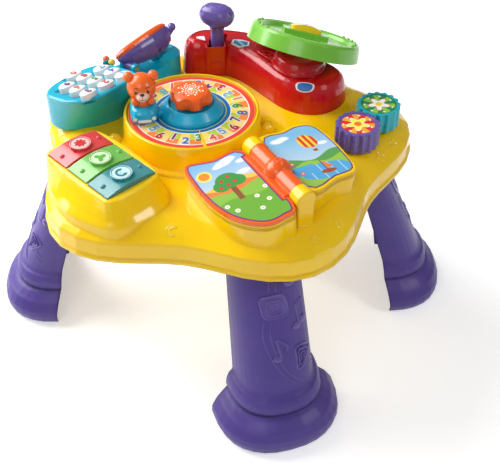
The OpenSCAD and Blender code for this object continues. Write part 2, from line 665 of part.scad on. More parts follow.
module horn_button() color(yellow) in_wheel() translate([horn_c.x, horn_c.y, -4 + horn_travel + 0.4])
    intersection() {
        linear_extrude(14) polygon(squircle(18, 7.5, 4, 36));
        rotate([90, 0, 0]) cylinder(r = 40, h = 60, center = true);
        translate([0, 0, -32]) rotate([90, 0, 0]) cylinder(r = 41, h = 60, center = true, $fn = 96);
    }

// ---- Telephone ----
phone_c = [-130, 25];
phone_turn = 57;
pad_fall = 11.7;
pad_z = deck_z + 42.1;
module in_phone() {
    translate([phone_c.x, phone_c.y, 0]) rotate(phone_turn) children();
}
// The keypad plane: falls outwards, along local +y
function pad_at(p) = pad_z - tan(pad_fall) * p.y;
module on_pad(u, v) {
    in_phone() translate([u, v, pad_at([u, v])]) rotate([-pad_fall, 0, 0]) children();
}
phone_foot = through([[-73, 8], [-66, -4], [-53, -12], [-38, -20], [-16, -26], [2, -23.5],
    [16, -18], [20, 0], [16, 24], [0, 40], [-30, 46], [-58, 40], [-72, 26]], 3);
phone_head = through([[-76, 4], [-74, -16], [-64, -33], [-42, -41], [-20, -41], [0, -38],
    [13, -31], [16, -5], [14, 20], [0, 37], [-30, 40], [-58, 36], [-74, 22]], 3);
cradle_foot = through([[0, -16], [30, -21.5], [60, -22], [84, -17], [98, -8], [103, 7], [97, 23],
    [80, 34], [50, 38], [20, 38], [4, 30], [0, 4]], 3);
key_a = 10;
key_b = 7.2;
function oval(a, b) = [for (i = [0 : 27]) [a * cos(i * 360 / 28), b * sin(i * 360 / 28)]];
key_at = concat([for (v = [-28, -9, 10], u = [-52.5, -28, -3.5]) [u, v]], [[-29.5, 28]]);
pocket_d = 4;
phone_steps = [[0, 0], [0.12, 0.2], [0.35, 0.42], [0.6, 0.64], [0.82, 0.84], [0.93, 0.92],
    [1, 0.96]];
module phone_shell() color(turquoise) difference() {
    union() {
        in_phone() loft(concat(
            [for (s = phone_steps) [for (q = mix(phone_foot, phone_head, s[0]))
                [q.x, q.y, deck_z + s[1] * (pad_at(q) + 2 - deck_z)]]],
            [[for (q = inset(phone_head, 2)) [q.x, q.y, pad_at(q) + 2]]]));
        in_phone() loft([for (s = [[0, seat], [0.5, 10], [2, 18], [5, 23], [9, 25.5]])
            lift(inset(cradle_foot, s[0]), deck_z + s[1])]);
        difference() {
            in_phone() translate([86, 4, deck_z]) intersection() {
                translate([0, 0, 12]) sphere(r = 27);
                cylinder(r = 19, h = 60);
            }
            in_handset() rotate([-handset_roll, 0, 0]) translate([20, 0, handset_off])
                rotate([0, 90, 0]) cylinder(r = 22.5, h = 70);
        }
        in_phone() for (s = [-1, 1]) translate([hinge_u, hinge_v + s * lug_off, deck_z + 15]) {
            translate([-lug_r, -lug_t / 2, 0]) cube([2 * lug_r, lug_t, hinge_z - deck_z - 15]);
            translate([0, 0, hinge_z - deck_z - 15]) rotate([90, 0, 0])
                cylinder(r = lug_r, h = lug_t, center = true);
        }
        in_phone() translate([10, bead_mid - 0.6, deck_z + 20])
            cube([bead_u + 2 - 10, 1.2, bead_z + 2 - deck_z - 20]);
    }
    in_phone() translate([hinge_u, hinge_v, hinge_z]) {
        rotate([90, 0, 0]) cylinder(r = handset_pin_r + fit, h = 40, center = true);
        translate([-9, -knuckle_l / 2 - gap, -8]) cube([60, knuckle_l + 2 * gap, 30]);
    }
    in_phone() translate([bead_u, bead_mid, bead_z]) rotate([90, 0, 0])
        cylinder(r = bead_pin_r + fit, h = 4, center = true);
    on_pad(-28, -9) translate([-37.5, -27.5, 0]) cube([75, 55, 10]);
    on_pad(-29.5, 26) translate([-12, -9, 0]) cube([24, 20, 10]);
    for (k = key_at) on_pad(k.x, k.y) translate([0, 0, -pocket_d])
        linear_extrude(20) polygon(oval(key_a + gap, key_b + gap));
}
module phone_key(k) color(white) on_pad(key_at[k].x, key_at[k].y) translate([0, 0, -1.4])
    intersection() {
        linear_extrude(20) polygon(oval(key_a, key_b));
        translate([0, 0, phone_key_h + 1.4 - 26]) sphere(r = 26, $fn = 96);
    }
module phone_key_0() phone_key(0);
module phone_key_1() phone_key(1);
module phone_key_2() phone_key(2);
module phone_key_3() phone_key(3);
module phone_key_4() phone_key(4);
module phone_key_5() phone_key(5);
module phone_key_6() phone_key(6);
module phone_key_7() phone_key(7);
module phone_key_8() phone_key(8);
module phone_key_9() phone_key(9);

// Handset on its hinge
hinge_u = 31;
hinge_v = 2;
hinge_z = deck_z + 38;
handset_pin_r = 2.5;
handset_roll = 46;
handset_rise = 8;
handset_off = 13;
knuckle_l = 12;
lug_t = 5.6;
lug_r = 5.4;
lug_off = knuckle_l / 2 + gap + lug_t / 2;
module in_handset() {
    in_phone() translate([hinge_u, hinge_v, hinge_z]) rotate([0, -handset_rise, 0]) children();
}
module handset_pin() color(steel) in_phone() translate([hinge_u, hinge_v, hinge_z])
    rotate([90, 0, 0]) cylinder(r = handset_pin_r, h = 2 * (lug_off + lug_t / 2), center = true);
// Sections along the handset: place, half width, depth of the bowl
handset_sections = [[-7, 4, 4], [-4, 9, 9], [4, 13, 14], [18, 16, 19], [36, 17.5, 22],
    [52, 16.5, 21], [62, 13, 17], [66, 8, 11], [68, 3, 5]];
function bowl(w, d) = [for (i = [0 : 19]) let (a = 180 + 180 * i / 19) [w * cos(a), d * sin(a)]];
module handset_body() color(purple) in_handset() difference() {
    union() {
        rotate([-handset_roll, 0, 0]) translate([0, 0, handset_off]) {
            rotate([0, 90, 0]) rotate(90) loft([for (s = handset_sections)
                [for (q = bowl(s[1], s[2])) [q.x, q.y, s[0]]]]);
            translate([60, 0, -9]) rotate([0, 70, 0]) cylinder(r = 4.6, h = 17);
            translate([60 + 16.5 * sin(70), 0, -9 + 16.5 * cos(70)]) sphere(r = 5.1);
        }
        rotate([90, 0, 0]) cylinder(r = lug_r, h = knuckle_l, center = true);
        translate([0, -4, -3]) cube([14, 8, 8]);
    }
    rotate([90, 0, 0]) cylinder(r = handset_pin_r + fit, h = 40, center = true);
    // Room for the far lug and its post as the handset lifts
    translate([0, lug_off, 0]) rotate([90, 0, 0])
        cylinder(r = lug_r + 0.8, h = lug_t + 2 * gap, center = true);
    translate([-20, lug_off - lug_t / 2 - gap, -30]) cube([20 + lug_r + 0.8, lug_t + 2 * gap, 30]);
}
module handset_face() color(orange) in_handset() rotate([-handset_roll, 0, 0])
    translate([0, 0, handset_off]) loft([for (s = [[0, 1], [3, 1.04], [5.5, 0.98], [7, 0.86]])
        lift([for (q = face_outline) [30 + (q.x - 30) * s[1], q.y * s[1]]], s[0])]);
face_outline = through([[-7, 0], [0, -11], [20, -16], [40, -17], [60, -13], [67, 0], [60, 13],
    [40, 17], [20, 16], [0, 11]], 3);

// ---- Keys, rollers, book, beads ----
module piano_key(k) in_piano() translate([-4, k * piano_pitch, piano_floor + piano_travel + 0.4])
    union() {
        intersection() {
            translate([-piano_key_l / 2, -piano_key_w / 2, 0]) cube([piano_key_l, piano_key_w, 30]);
            translate([0, 0, 10.5 - 100]) rotate([90, 0, 0]) cylinder(r = 100, h = 60, center = true,
                $fn = 128);
        }
        translate([0, 0, 5]) difference() {
            cylinder(r = 11.6, h = 8.2);
            translate([0, 0, 7.6]) cylinder(r = 9.8, h = 4);
        }
        for (s = [-1, 1]) translate([s * (piano_key_l / 2 - 7), 0, 7.2]) sphere(r = 2.8, $fn = 32);
    }
module key_red() color(red) piano_key(1);
module key_green() color(green) piano_key(0);
module key_teal() color(turquoise) piano_key(-1);

function roller_outline(half) = [for (i = [0 : roller_lobes * 10 - 1])
    let (a = roller_dir + i * 36 / roller_lobes)
    polar(roller_r + roller_wave * (half ? -1 : 1) * cos(36 * i), a)];
module roller(c, half) translate([c.x, c.y, roller_z]) difference() {
    linear_extrude(roller_h) polygon(roller_outline(half));
    translate([0, 0, -1]) cylinder(r = axle_r + fit, h = roller_h - 4);
    translate([0, 0, roller_h - 0.6]) cylinder(r = roller_r - 3.4, h = 2);
}
module roller_purple() color(purple) roller(roller_c1, false);
module roller_teal() color(turquoise) roller(roller_c2, true);
module roller_axles() color(steel) for (c = [roller_c1, roller_c2])
    translate([c.x, c.y, axle_base + 2.1]) cylinder(r = axle_r, h = roller_z + roller_h - axle_base - 8);

module book_leaf() color(orange) difference() {
    union() {
        in_book() {
            rotate([0, 90, 0]) {
                cylinder(r = barrel_r, h = 2 * barrel_half, center = true);
                sphere(r = bulge_r);
            }
            translate([-barrel_half + 1, -16, -leaf_t / 2]) cube([2 * barrel_half - 2, 16, leaf_t]);
        }
        on_page(-1) translate([0, 0, -leaf_t / 2]) linear_extrude(leaf_t) polygon(left_page);
    }
    in_book() rotate([0, 90, 0]) cylinder(r = book_pin_r + fit, h = 200, center = true);
}
module book_pin() color(steel) in_book() rotate([0, 90, 0])
    cylinder(r = book_pin_r, h = 2 * (barrel_half + post_l) - 7, center = true);
module page_panel() color(white) difference() {
    on_page(1) translate([0, 0, -leaf_t / 2 - page_gap - 1])
        linear_extrude(1) polygon(shrink(right_page, mid(right_page), 0.92));
    in_book() rotate([0, 90, 0]) {
        cylinder(r = barrel_r + 3, h = 200, center = true);
        sphere(r = bulge_r + 1.6);
    }
}

bead_r = 4;
bead_pin_r = 1;
bead_u = 19;
bead_mid = 25;
bead_vs = [bead_mid + 5, bead_mid - 5];
bead_z = pad_at([0, 14]) + 1;
module bead_rod() color(steel) in_phone() translate([bead_u, bead_mid, bead_z])
    rotate([90, 0, 0]) cylinder(r = bead_pin_r, h = 20, center = true);
module bead(v) in_phone() translate([bead_u, v, bead_z]) difference() {
    sphere(r = bead_r);
    rotate([90, 0, 0]) cylinder(r = bead_pin_r + fit, h = 20, center = true);
}
module bead_orange() color(orange) bead(bead_vs[0]);
module bead_yellow() color(yellow) bead(bead_vs[1]);

deck_shell();
base_tray();
leg_right();
leg_front();
leg_left();
leg_back();
battery_door();
battery_door_screw();
case_screws();
battery_cells();
battery_contacts();
circuit_board();
speaker();
power_switch();
dial_plate();
console_shell();
column_boot();
console_badges();
phone_shell();
page_panel();
book_pin();
roller_axles();
handset_pin();
bead_rod();
carrier_ring();
car_body();
bear_figure();
star_button();
gear_lever();
steering_wheel();
steering_shaft();
horn_button();
phone_key_0();
phone_key_1();
phone_key_2();
phone_key_3();
phone_key_4();
phone_key_5();
phone_key_6();
phone_key_7();
phone_key_8();
phone_key_9();
handset_body();
handset_face();
key_red();
key_green();
key_teal();
roller_purple();
roller_teal();
book_leaf();
bead_orange();
bead_yellow();
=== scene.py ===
# %% [markdown]
# # A musical activity table
# The table is a standing toy: a yellow five-lobed top on four purple shell legs, with a
# telephone, a turning dial, a driving console, light-up keys, meshed rollers and a book.
# Its solids are already exact, so they are loaded as a fixed frame. What is left for
# Blender is the finish: moulded plastic, clear plastic, prints and small raised signs.

# %% Load the solids
import json
import math
from functools import partialmethod
import bpy
from mathutils import Matrix, Vector


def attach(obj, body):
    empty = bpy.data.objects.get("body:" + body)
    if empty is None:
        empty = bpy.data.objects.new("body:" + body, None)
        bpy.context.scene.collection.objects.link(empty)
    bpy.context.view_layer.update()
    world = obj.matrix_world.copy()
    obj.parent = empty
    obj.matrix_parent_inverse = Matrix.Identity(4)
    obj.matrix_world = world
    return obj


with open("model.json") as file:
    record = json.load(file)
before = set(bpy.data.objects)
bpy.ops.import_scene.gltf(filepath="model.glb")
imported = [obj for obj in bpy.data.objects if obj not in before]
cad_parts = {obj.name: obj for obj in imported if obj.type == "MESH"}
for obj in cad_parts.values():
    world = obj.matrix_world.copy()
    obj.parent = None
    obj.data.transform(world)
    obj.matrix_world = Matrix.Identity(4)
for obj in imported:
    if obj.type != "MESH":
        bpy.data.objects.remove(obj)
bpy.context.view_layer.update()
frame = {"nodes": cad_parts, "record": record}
solids = frame["nodes"]
MM = 0.001

# %% [markdown]
# ## The camera
# A long lens keeps the round dial round. The camera stands in front of the table, a little
# to the right, and looks down at it by about forty degrees.

# %% Camera
bpy.ops.object.camera_add(location=(0.1726, -0.7946, 0.8119),
                          rotation=(math.radians(47.88), 0.0, math.radians(9.82)))
camera = bpy.context.object
camera.name = "camera"
camera.data.sensor_fit = "HORIZONTAL"
camera.data.sensor_width = 36.0
camera.data.lens = 62.98
camera.data.clip_start = 0.01
bpy.context.scene.camera = camera
print("camera lens:", camera.data.lens)

# %% [markdown]
# ## Studio lamps
# Glossy toys are lit by large soft boxes, because a small lamp would leave a burnt dot on
# every curve. The big key box hangs at the left. A weak box in front and a small one at
# the right open the shadows.

# %% Lamps
def soft_box(name, place, size, watts):
    """A square area lamp that looks at the table top."""
    bpy.ops.object.light_add(type="AREA", location=place)
    lamp = bpy.context.object
    lamp.name = name
    lamp.data.shape = "SQUARE"
    lamp.data.size = size
    lamp.data.energy = watts
    aim = Vector((0.0, 0.0, 0.2)) - Vector(place)
    lamp.rotation_euler = aim.to_track_quat("-Z", "Y").to_euler()


soft_box("key_box", (-1.35, 0.4, 1.3), 1.5, 50.0)
soft_box("front_box", (-0.2, -1.6, 1.5), 1.0, 8.0)
soft_box("side_box", (1.5, -0.45, 1.35), 0.5, 7.0)

# %% [markdown]
# ## The world
# A dim white world fills what the lamps leave dark, at a level where a colour comes out
# about as it is written. The camera itself sees it at full strength, as white paper.

# %% World
def feed(tree, made, inputs):
    """Each input of a node takes a value, or a link from another node's output."""
    for name, value in inputs.items():
        value = getattr(value, "socket", value)
        if isinstance(value, bpy.types.NodeSocket):
            tree.links.new(value, made.inputs[name])
        else:
            made.inputs[name].default_value = value


def node(tree, kind, inputs=None, **settings):
    made = tree.nodes.new(kind)
    for name, value in settings.items():
        setattr(made, name, value)
    feed(tree, made, inputs or {})
    return made


PURE_WHITE = (1.0, 1.0, 1.0, 1.0)
world = bpy.data.worlds.new("studio")
bpy.context.scene.world = world
world.use_nodes = True
sky = world.node_tree
sky.nodes.clear()
path = node(sky, "ShaderNodeLightPath")
glow = node(sky, "ShaderNodeBackground", {"Color": PURE_WHITE, "Strength": 0.28})
paper = node(sky, "ShaderNodeBackground", {"Color": PURE_WHITE, "Strength": 1.0})
pick = node(sky, "ShaderNodeMixShader",
            {0: path.outputs["Is Camera Ray"], 1: glow.outputs[0], 2: paper.outputs[0]})
node(sky, "ShaderNodeOutputWorld", {"Surface": pick.outputs[0]})
bpy.context.scene.view_settings.view_transform = "Standard"
print("world nodes:", len(sky.nodes))

# %% [markdown]
# ## Sums on a surface
# Prints and gloss are drawn with numbers that change over a surface. In a shader each sum
# is a node, which makes long chains hard to read. A small class lets them be written as
# plain sums: the signs for and, or and not join masks, which are 1 inside and 0 outside.

# %% Fields
class Field:
    """A number that changes over a surface."""

    def __init__(self, tree, socket):
        self.tree = tree
        self.socket = socket

    def math(self, operation, *others):
        made = node(self.tree, "ShaderNodeMath", dict(enumerate((self,) + others)),
                    operation=operation)
        return Field(self.tree, made.outputs[0])

    __add__ = partialmethod(math, "ADD")
    __sub__ = partialmethod(math, "SUBTRACT")
    __mul__ = partialmethod(math, "MULTIPLY")
    __truediv__ = partialmethod(math, "DIVIDE")
    __neg__ = partialmethod(math, "MULTIPLY", -1.0)
    __and__ = partialmethod(math, "MULTIPLY")
    __or__ = partialmethod(math, "MAXIMUM")
    __invert__ = partialmethod(math, "MULTIPLY_ADD", -1.0, 1.0)
    sine = partialmethod(math, "SINE")
    cosine = partialmethod(math, "COSINE")

    def above(self, limit, soft=0.12):
        """1 where the number is over the limit, with a soft step."""
        step = node(self.tree, "ShaderNodeMapRange",
                    {"Value": self, "From Min": limit - soft, "From Max": limit + soft})
        return Field(self.tree, step.outputs["Result"])

    def between(self, low, high, soft=0.12):
        return self.above(low, soft) & ~self.above(high, soft)


def distance(x, y):
    return (x * x + y * y).math("SQRT")


def polar(x, y):
    """Distance from the frame's middle, and the angle round it."""
    return distance(x, y), y.math("ARCTAN2", x)


def oval(x, y, middle, half_wide, half_high, soft=0.04):
    across = (x - middle[0]) / half_wide
    up = (y - middle[1]) / half_high
    return ~distance(across, up).above(1.0, soft)


print("field sums ready")

# %% [markdown]
# ## The floor
# The floor is white paper. A diffuse surface alone would be grey where the lamps are weak,
# so the camera and mirror-like rays get a little light of the floor's own. The part that
# comes from the lamps still shows the soft shadows under the feet. Far from the table the
# paper sweeps up towards the light, so its own light grows with the distance.

# %% Floor
bpy.ops.mesh.primitive_plane_add(size=14.0, location=(0.0, 0.0, 0.0))
floor = bpy.context.object
floor.name = "floor"
floor_paint = bpy.data.materials.new("paper_floor")
floor_paint.use_nodes = True
tree = floor_paint.node_tree
tree.nodes.clear()
rays = node(tree, "ShaderNodeLightPath").outputs
seen = Field(tree, rays["Is Camera Ray"]) | rays["Is Glossy Ray"] | rays["Is Transmission Ray"]
here = node(tree, "ShaderNodeTexCoord")
reach = node(tree, "ShaderNodeVectorMath", {0: here.outputs["Object"]}, operation="LENGTH")
sweep = node(tree, "ShaderNodeMapRange",
             {"Value": reach.outputs["Value"], "From Min": 0.4, "From Max": 2.6,
              "To Min": 0.43, "To Max": 0.9}, interpolation_type="SMOOTHSTEP")
own_light = node(tree, "ShaderNodeEmission", {"Strength": seen * sweep.outputs["Result"]})
dull = node(tree, "ShaderNodeBsdfDiffuse", {"Color": (0.84, 0.84, 0.85, 1.0)})
both = node(tree, "ShaderNodeAddShader", {0: dull.outputs[0], 1: own_light.outputs[0]})
node(tree, "ShaderNodeOutputMaterial", {"Surface": both.outputs[0]})
floor.data.materials.append(floor_paint)
print("floor laid")

# %% [markdown]
# ## Moulded plastic
# All the coloured mouldings share one skin: a colour that drifts a little where the melt
# flowed, a gloss that is not quite even, and a very fine grain from the steel mould. Real
# mouldings have no sharp edges, so the skin also bends the light over an edge radius. It
# is built once as a node group, and each plastic sets its own values.

# %% The skin group
def rgba(red, green, blue):
    """An sRGB colour of 0 to 255 as the linear colour that a shader takes."""
    def line(c):
        c = c / 255.0
        return c / 12.92 if c <= 0.04045 else ((c + 0.055) / 1.055) ** 2.4
    return (line(red), line(green), line(blue), 1.0)


def mix_colour(tree, amount, under, over):
    """over is laid on under by amount; each is a field, a socket or a value."""
    return node(tree, "ShaderNodeMix", {0: amount, 6: under, 7: over},
                data_type="RGBA").outputs[2]


def noise(tree, place, scale, detail):
    made = node(tree, "ShaderNodeTexNoise", {"Vector": place, "Scale": scale, "Detail": detail})
    return Field(tree, made.outputs["Fac"])


skin = bpy.data.node_groups.new("moulded_skin", "ShaderNodeTree")
for way, kind, names in (
        ("INPUT", "NodeSocketVector", ("Place",)),
        ("INPUT", "NodeSocketColor", ("Colour", "Deep colour")),
        ("INPUT", "NodeSocketFloat",
         ("Gloss low", "Gloss high", "Grain size", "Grain depth", "Edge radius")),
        ("OUTPUT", "NodeSocketColor", ("Colour",)),
        ("OUTPUT", "NodeSocketFloat", ("Roughness",)),
        ("OUTPUT", "NodeSocketVector", ("Normal",))):
    for name in names:
        skin.interface.new_socket(name=name, in_out=way, socket_type=kind)
given = node(skin, "NodeGroupInput").outputs
flow = noise(skin, given["Place"], 14.0, 3.0)
handled = noise(skin, given["Place"], 60.0, 4.0)
grain = noise(skin, given["Place"], given["Grain size"], 2.0)
drift = (flow * 2.4 - 0.7).math("MINIMUM", 1.0).math("MAXIMUM", 0.0)
span = Field(skin, given["Gloss high"]) - given["Gloss low"]
rounded = node(skin, "ShaderNodeBevel", {"Radius": given["Edge radius"]}, samples=4)
steel_grain = node(skin, "ShaderNodeBump",
                   {"Strength": 0.5, "Distance": given["Grain depth"], "Height": grain,
                    "Normal": rounded.outputs["Normal"]})
node(skin, "NodeGroupOutput",
     {"Colour": mix_colour(skin, drift, given["Deep colour"], given["Colour"]),
      "Roughness": handled * span + given["Gloss low"],
      "Normal": steel_grain.outputs["Normal"]})
print("skin nodes:", len(skin.nodes))

# %% [markdown]
# ## Frames for drawing
# Every print, sign and small part is drawn in millimetres, in a frame that sits where it
# sits on the table. The frame is a matrix, so the same one places a mesh and a print.

# %% Frames
def spot(x, y, z, *turns):
    """A frame at a place in millimetres, turned by (degrees, axis) pairs in that order."""
    place = Matrix.Translation(Vector((x, y, z)) * MM)
    for degrees, axis in turns:
        place = place @ Matrix.Rotation(math.radians(degrees), 4, axis)
    return place


def local_axes(tree, place):
    """x, y and z in millimetres in the frame named place, as three fields."""
    here = node(tree, "ShaderNodeTexCoord")
    turn = node(tree, "ShaderNodeMapping",
                {"Vector": here.outputs["Object"], "Location": place.to_translation(),
                 "Rotation": place.to_euler("XYZ"), "Scale": (MM, MM, MM)},
                vector_type="TEXTURE")
    axes = node(tree, "ShaderNodeSeparateXYZ", {"Vector": turn.outputs["Vector"]})
    return [Field(tree, axes.outputs[name]) for name in "XYZ"]


def console_spot(x, y, lift=-0.4):
    """A frame on the flat top of the console, which falls to the right."""
    return spot(x, y, 286 - 10 * (x + 50) / 160 + lift, (3.576, "Y"))


DIAL = spot(-27, -15, 0)
CAR = spot(-75.55, -33.64, 272.7, (-72, "Z"))
PIANO = spot(-96.13, -115.79, 263.4, (54, "Z"))
WHEEL = spot(82.8, 106.4, 312, (66, "Z"), (24.3, "Y"), (-54, "Z"))
BOOK = spot(82, -107, 272, (-50, "Z"))
LEFT_PAGE = BOOK @ spot(0, 0, 0, (5, "X"))
RIGHT_PAGE = BOOK @ spot(0, 0, 0, (-5, "X"))
LEAF_BACK = LEFT_PAGE @ spot(0, 0, 0, (180, "X"))
PHONE = spot(-130, 25, 0, (57, "Z"))
print("frames ready")

# %% [markdown]
# ## One plastic per moulding
# The shader itself stays in the material. Only the values that change over the surface come
# from the skin. Small pieces also get a thin clear coat, for the second, sharper highlight
# of polished ABS. A print is ink on the moulding: a mask and a colour laid over the skin's
# colour.

# %% Plain plastics
def plastic(name, colour, deep=None, gloss=(0.22, 0.34), coat=0.25, grain_size=900.0,
            grain_depth=0.00002, under=0.0, soft_edge=0.0008, shine=0.5, prints=None):
    """A moulded plastic; colours are sRGB triples, and prints lays ink on it."""
    deep = deep or tuple(int(c * 0.95) for c in colour)
    paint = bpy.data.materials.new(name)
    paint.use_nodes = True
    tree = paint.node_tree
    where = node(tree, "ShaderNodeTexCoord")
    look = node(tree, "ShaderNodeGroup", {
        "Place": where.outputs["Object"], "Colour": rgba(*colour), "Deep colour": rgba(*deep),
        "Gloss low": gloss[0], "Gloss high": gloss[1], "Grain size": grain_size,
        "Grain depth": grain_depth, "Edge radius": soft_edge}, node_tree=skin).outputs
    face = look["Colour"]
    for mask, ink in (prints(tree) if prints else []):
        face = mix_colour(tree, mask, face, rgba(*ink))
    shade = {"Base Color": face, "Roughness": look["Roughness"], "Normal": look["Normal"],
             "Specular IOR Level": shine, "Coat Weight": coat, "Coat Roughness": 0.08}
    if under:
        shade.update({"Subsurface Weight": under, "Subsurface Scale": 0.004})
    feed(tree, tree.nodes["Principled BSDF"], shade)
    return paint


sun_yellow = plastic("sun_yellow", (254, 212, 8), (252, 203, 4), (0.09, 0.16), 0.0, soft_edge=0.004)
leg_violet = plastic("leg_violet", (86, 68, 148), (78, 61, 140), (0.32, 0.42), 0.0,
                     grain_size=1400.0, grain_depth=0.00004, soft_edge=0.006, shine=0.35)
phone_blue = plastic("phone_blue", (0, 178, 206), (0, 168, 198), (0.16, 0.26), 0.0,
                     soft_edge=0.0025)
console_scarlet = plastic("console_scarlet", (204, 18, 26), (192, 12, 22), (0.1, 0.17), 0.0,
                          soft_edge=0.003, shine=0.6)
knob_violet = plastic("knob_violet", (104, 84, 162), (94, 76, 152))
dial_blue = plastic("dial_blue", (0, 172, 210), (0, 160, 204))
wheel_leaf = plastic("wheel_leaf", (122, 196, 60), (112, 186, 54))
page_orange = plastic("page_orange", (247, 100, 16), (242, 88, 10))
key_white = plastic("key_white", (238, 238, 236), (228, 228, 228), (0.2, 0.3))
bead_red = plastic("bead_red", (244, 92, 30), (238, 80, 22))
bead_gold = plastic("bead_gold", (250, 208, 60), (244, 198, 48))
print("plastics:", len(bpy.data.materials))

# %% [markdown]
# ## Crisp plastics for the signs
# A raised sign is the same plastic as the wall that carries it, but its edges are small.
# With the wall's large edge radius its light would be averaged away, so the signs get a
# finish of their own with a radius of half a millimetre. Their colours are also a little
# lighter than their walls' colours, the violet most: painted light on the raised signs.

# %% Crisp plastics
SIGN_EDGE = 0.0005
# painted light: this violet is lighter than the leg's violet, a lit copy of the leg plastic
lit_sign_violet = plastic("lit_sign_violet", (94, 76, 158), (86, 68, 148), (0.28, 0.38), 0.2,
                      soft_edge=SIGN_EDGE)
rim_yellow = plastic("rim_yellow", (254, 214, 12), (252, 205, 6), (0.12, 0.2), 0.5,
                     soft_edge=SIGN_EDGE)
trim_scarlet = plastic("trim_scarlet", (206, 20, 28), (194, 14, 24), (0.12, 0.2), 0.5,
                       soft_edge=SIGN_EDGE)
print("crisp plastics ready")

# %% [markdown]
# ## Prints on the dial and the star
# A pad print is thin ink on a flat face, so it needs no mesh of its own. The dial has
# colour rings and two rows of patches. The star has a burst of dashes inside a wavy edge,
# round a pale core.

# %% Dial and star prints
WHITE = (246, 246, 244)
STAR_FACE = 299.0


def dial_ink(tree):
    x, y, _ = local_axes(tree, DIAL)
    far, angle = polar(x, y)
    patch = (angle * 15.0 + 0.4).cosine().above(0.0, 0.05)
    outer = far.between(54, 62.6)
    inner = far.between(43.5, 54)
    rings = [(62.6, 63.6, WHITE), (63.6, 69.0, (228, 66, 50)), (69.0, 74.0, (246, 150, 40)),
             (42.4, 43.5, WHITE), (38.2, 42.4, (0, 104, 176)), (37.2, 38.2, (196, 206, 60)),
             (20.0, 37.2, (0, 140, 196))]
    return [(outer & patch, (244, 134, 56)), (outer & ~patch, (252, 212, 132)),
            (inner & patch, (186, 210, 60)), (inner & ~patch, (250, 222, 96)),
            *((far.between(low, high), ink) for low, high, ink in rings)]


def star_ink(tree):
    x, y, z = local_axes(tree, DIAL)
    far, angle = polar(x, y)
    rays = (angle * 10.0).cosine().above(0.45, 0.1) & (far * 1.5).sine().above(-0.1, 0.2)
    rest = ((angle * 10.0 + math.pi).cosine().above(0.6, 0.1)
            & (far * 1.5 + 2.6).sine().above(0.2, 0.2))
    reach = (angle * 8.0 + 0.6).cosine() * 2.6 + 12.0
    burst = (rays | rest) & (reach - far).above(0.0, 0.2) & far.above(3.4)
    core = ~far.above(2.6)
    return [((burst | core) & z.above(STAR_FACE, 0.3), (255, 246, 224))]


dial_card = plastic("dial_card", (250, 232, 196), gloss=(0.3, 0.4), prints=dial_ink)
star_orange = plastic("star_orange", (247, 104, 20), (240, 90, 12), under=0.12, prints=star_ink)
print("dial and star printed")

# %% [markdown]
# ## Prints on the rollers
# Each roller's disc carries a flower: two-colour rays as the ground, small white freckles,
# five petals with a line round them, a heart, and a ring at the edge.

# %% Roller prints
DISC_FACE = 267.7
DISC_RADIUS = 19.7


def flower_ink(middle, ground, ray_ink, petal_ink, line_ink, rim_ink, heart_ink):
    def ink(tree):
        x, y, z = local_axes(tree, spot(middle[0], middle[1], 0))
        far, angle = polar(x, y)
        disc = z.above(DISC_FACE, 0.1) & ~far.above(DISC_RADIUS)
        petal_depth = (angle * 5.0 + 0.9).cosine() * 3.2 + 10.0 - far
        petals = petal_depth.above(0.0, 0.2)
        freckles = far.between(14.8, 16.6) & (angle * 7.0 + 1.57).cosine().above(0.8)
        marks = [((angle * 7.0).cosine().above(0.0, 0.1), ray_ink), (freckles, WHITE),
                 (petals, petal_ink), (petals & ~petal_depth.above(1.0, 0.2), line_ink),
                 (~far.above(4.0), heart_ink), (far.above(18.2), rim_ink)]
        return [(disc, ground), *((disc & mark, colour) for mark, colour in marks)]
    return ink


violet_flower = flower_ink((154, -3), (214, 34, 38), (244, 166, 34), (252, 236, 84),
                           (250, 250, 246), (98, 80, 160), (240, 120, 30))
lagoon_flower = flower_ink((173.78, 39.42), (20, 134, 70), (140, 200, 56), (250, 250, 248),
                           (214, 50, 46), (8, 110, 66), (250, 210, 40))
roller_violet = plastic("roller_violet", (104, 86, 166), (92, 76, 154), prints=violet_flower)
roller_lagoon = plastic("roller_lagoon", (0, 176, 190), (0, 164, 180), prints=lagoon_flower)
print("rollers printed")

# %% [markdown]
# ## Prints on the badge, the horn and the bear
# The badge has a blue field with a pale slash and keeps a white edge. The horn has a pale
# oval with a note. The bear gets a pale muzzle, which is a ball's worth of another colour.

# %% Small prints
def badge_ink(tree):
    x, y, _ = local_axes(tree, console_spot(3, 119, 0.0))
    side = x.math("ABSOLUTE")
    field = (-side).above(-8.4) & (side * -0.55 + y).above(-7.0) & y.between(-20.0, 4.9)
    return [(field, (36, 132, 190)), (field & (x + y).between(-2.0, 3.0), (150, 208, 232))]


def horn_ink(tree):
    x, y, z = local_axes(tree, WHEEL @ spot(0, 8, 0))
    disc = oval(x, y, (0, 0), 12.0, 5.2) & z.above(4.0, 0.4)
    head = oval(x, y, (-2.4, -1.6), 2.0, 1.5, 0.1)
    stem = x.between(-1.4, -0.5) & y.between(-1.6, 3.2)
    flag = x.between(-1.4, 3.0) & y.between(2.2, 3.4)
    return [(disc, (178, 214, 240)), (disc & (head | stem | flag), (60, 110, 180))]


def muzzle_ink(tree):
    x, y, z = local_axes(tree, CAR)
    far = distance(x - 10.0, distance(y / 1.06, z - 31.0))
    return [(x.above(9.0, 0.8) & ~far.above(6.9), (252, 216, 200))]


badge_card = plastic("badge_card", (244, 246, 248), prints=badge_ink)
horn_gold = plastic("horn_gold", (252, 206, 30), (248, 196, 20), prints=horn_ink)
bear_orange = plastic("bear_orange", (250, 112, 24), (244, 98, 18), (0.24, 0.36),
                      prints=muzzle_ink)
print("small prints ready")

# %% [markdown]
# ## Steel and inner finishes
# The pins and screws are turned steel: metal with fine rings from the tool. The inner
# pieces are only seen with the table turned over, but they still get a real finish.

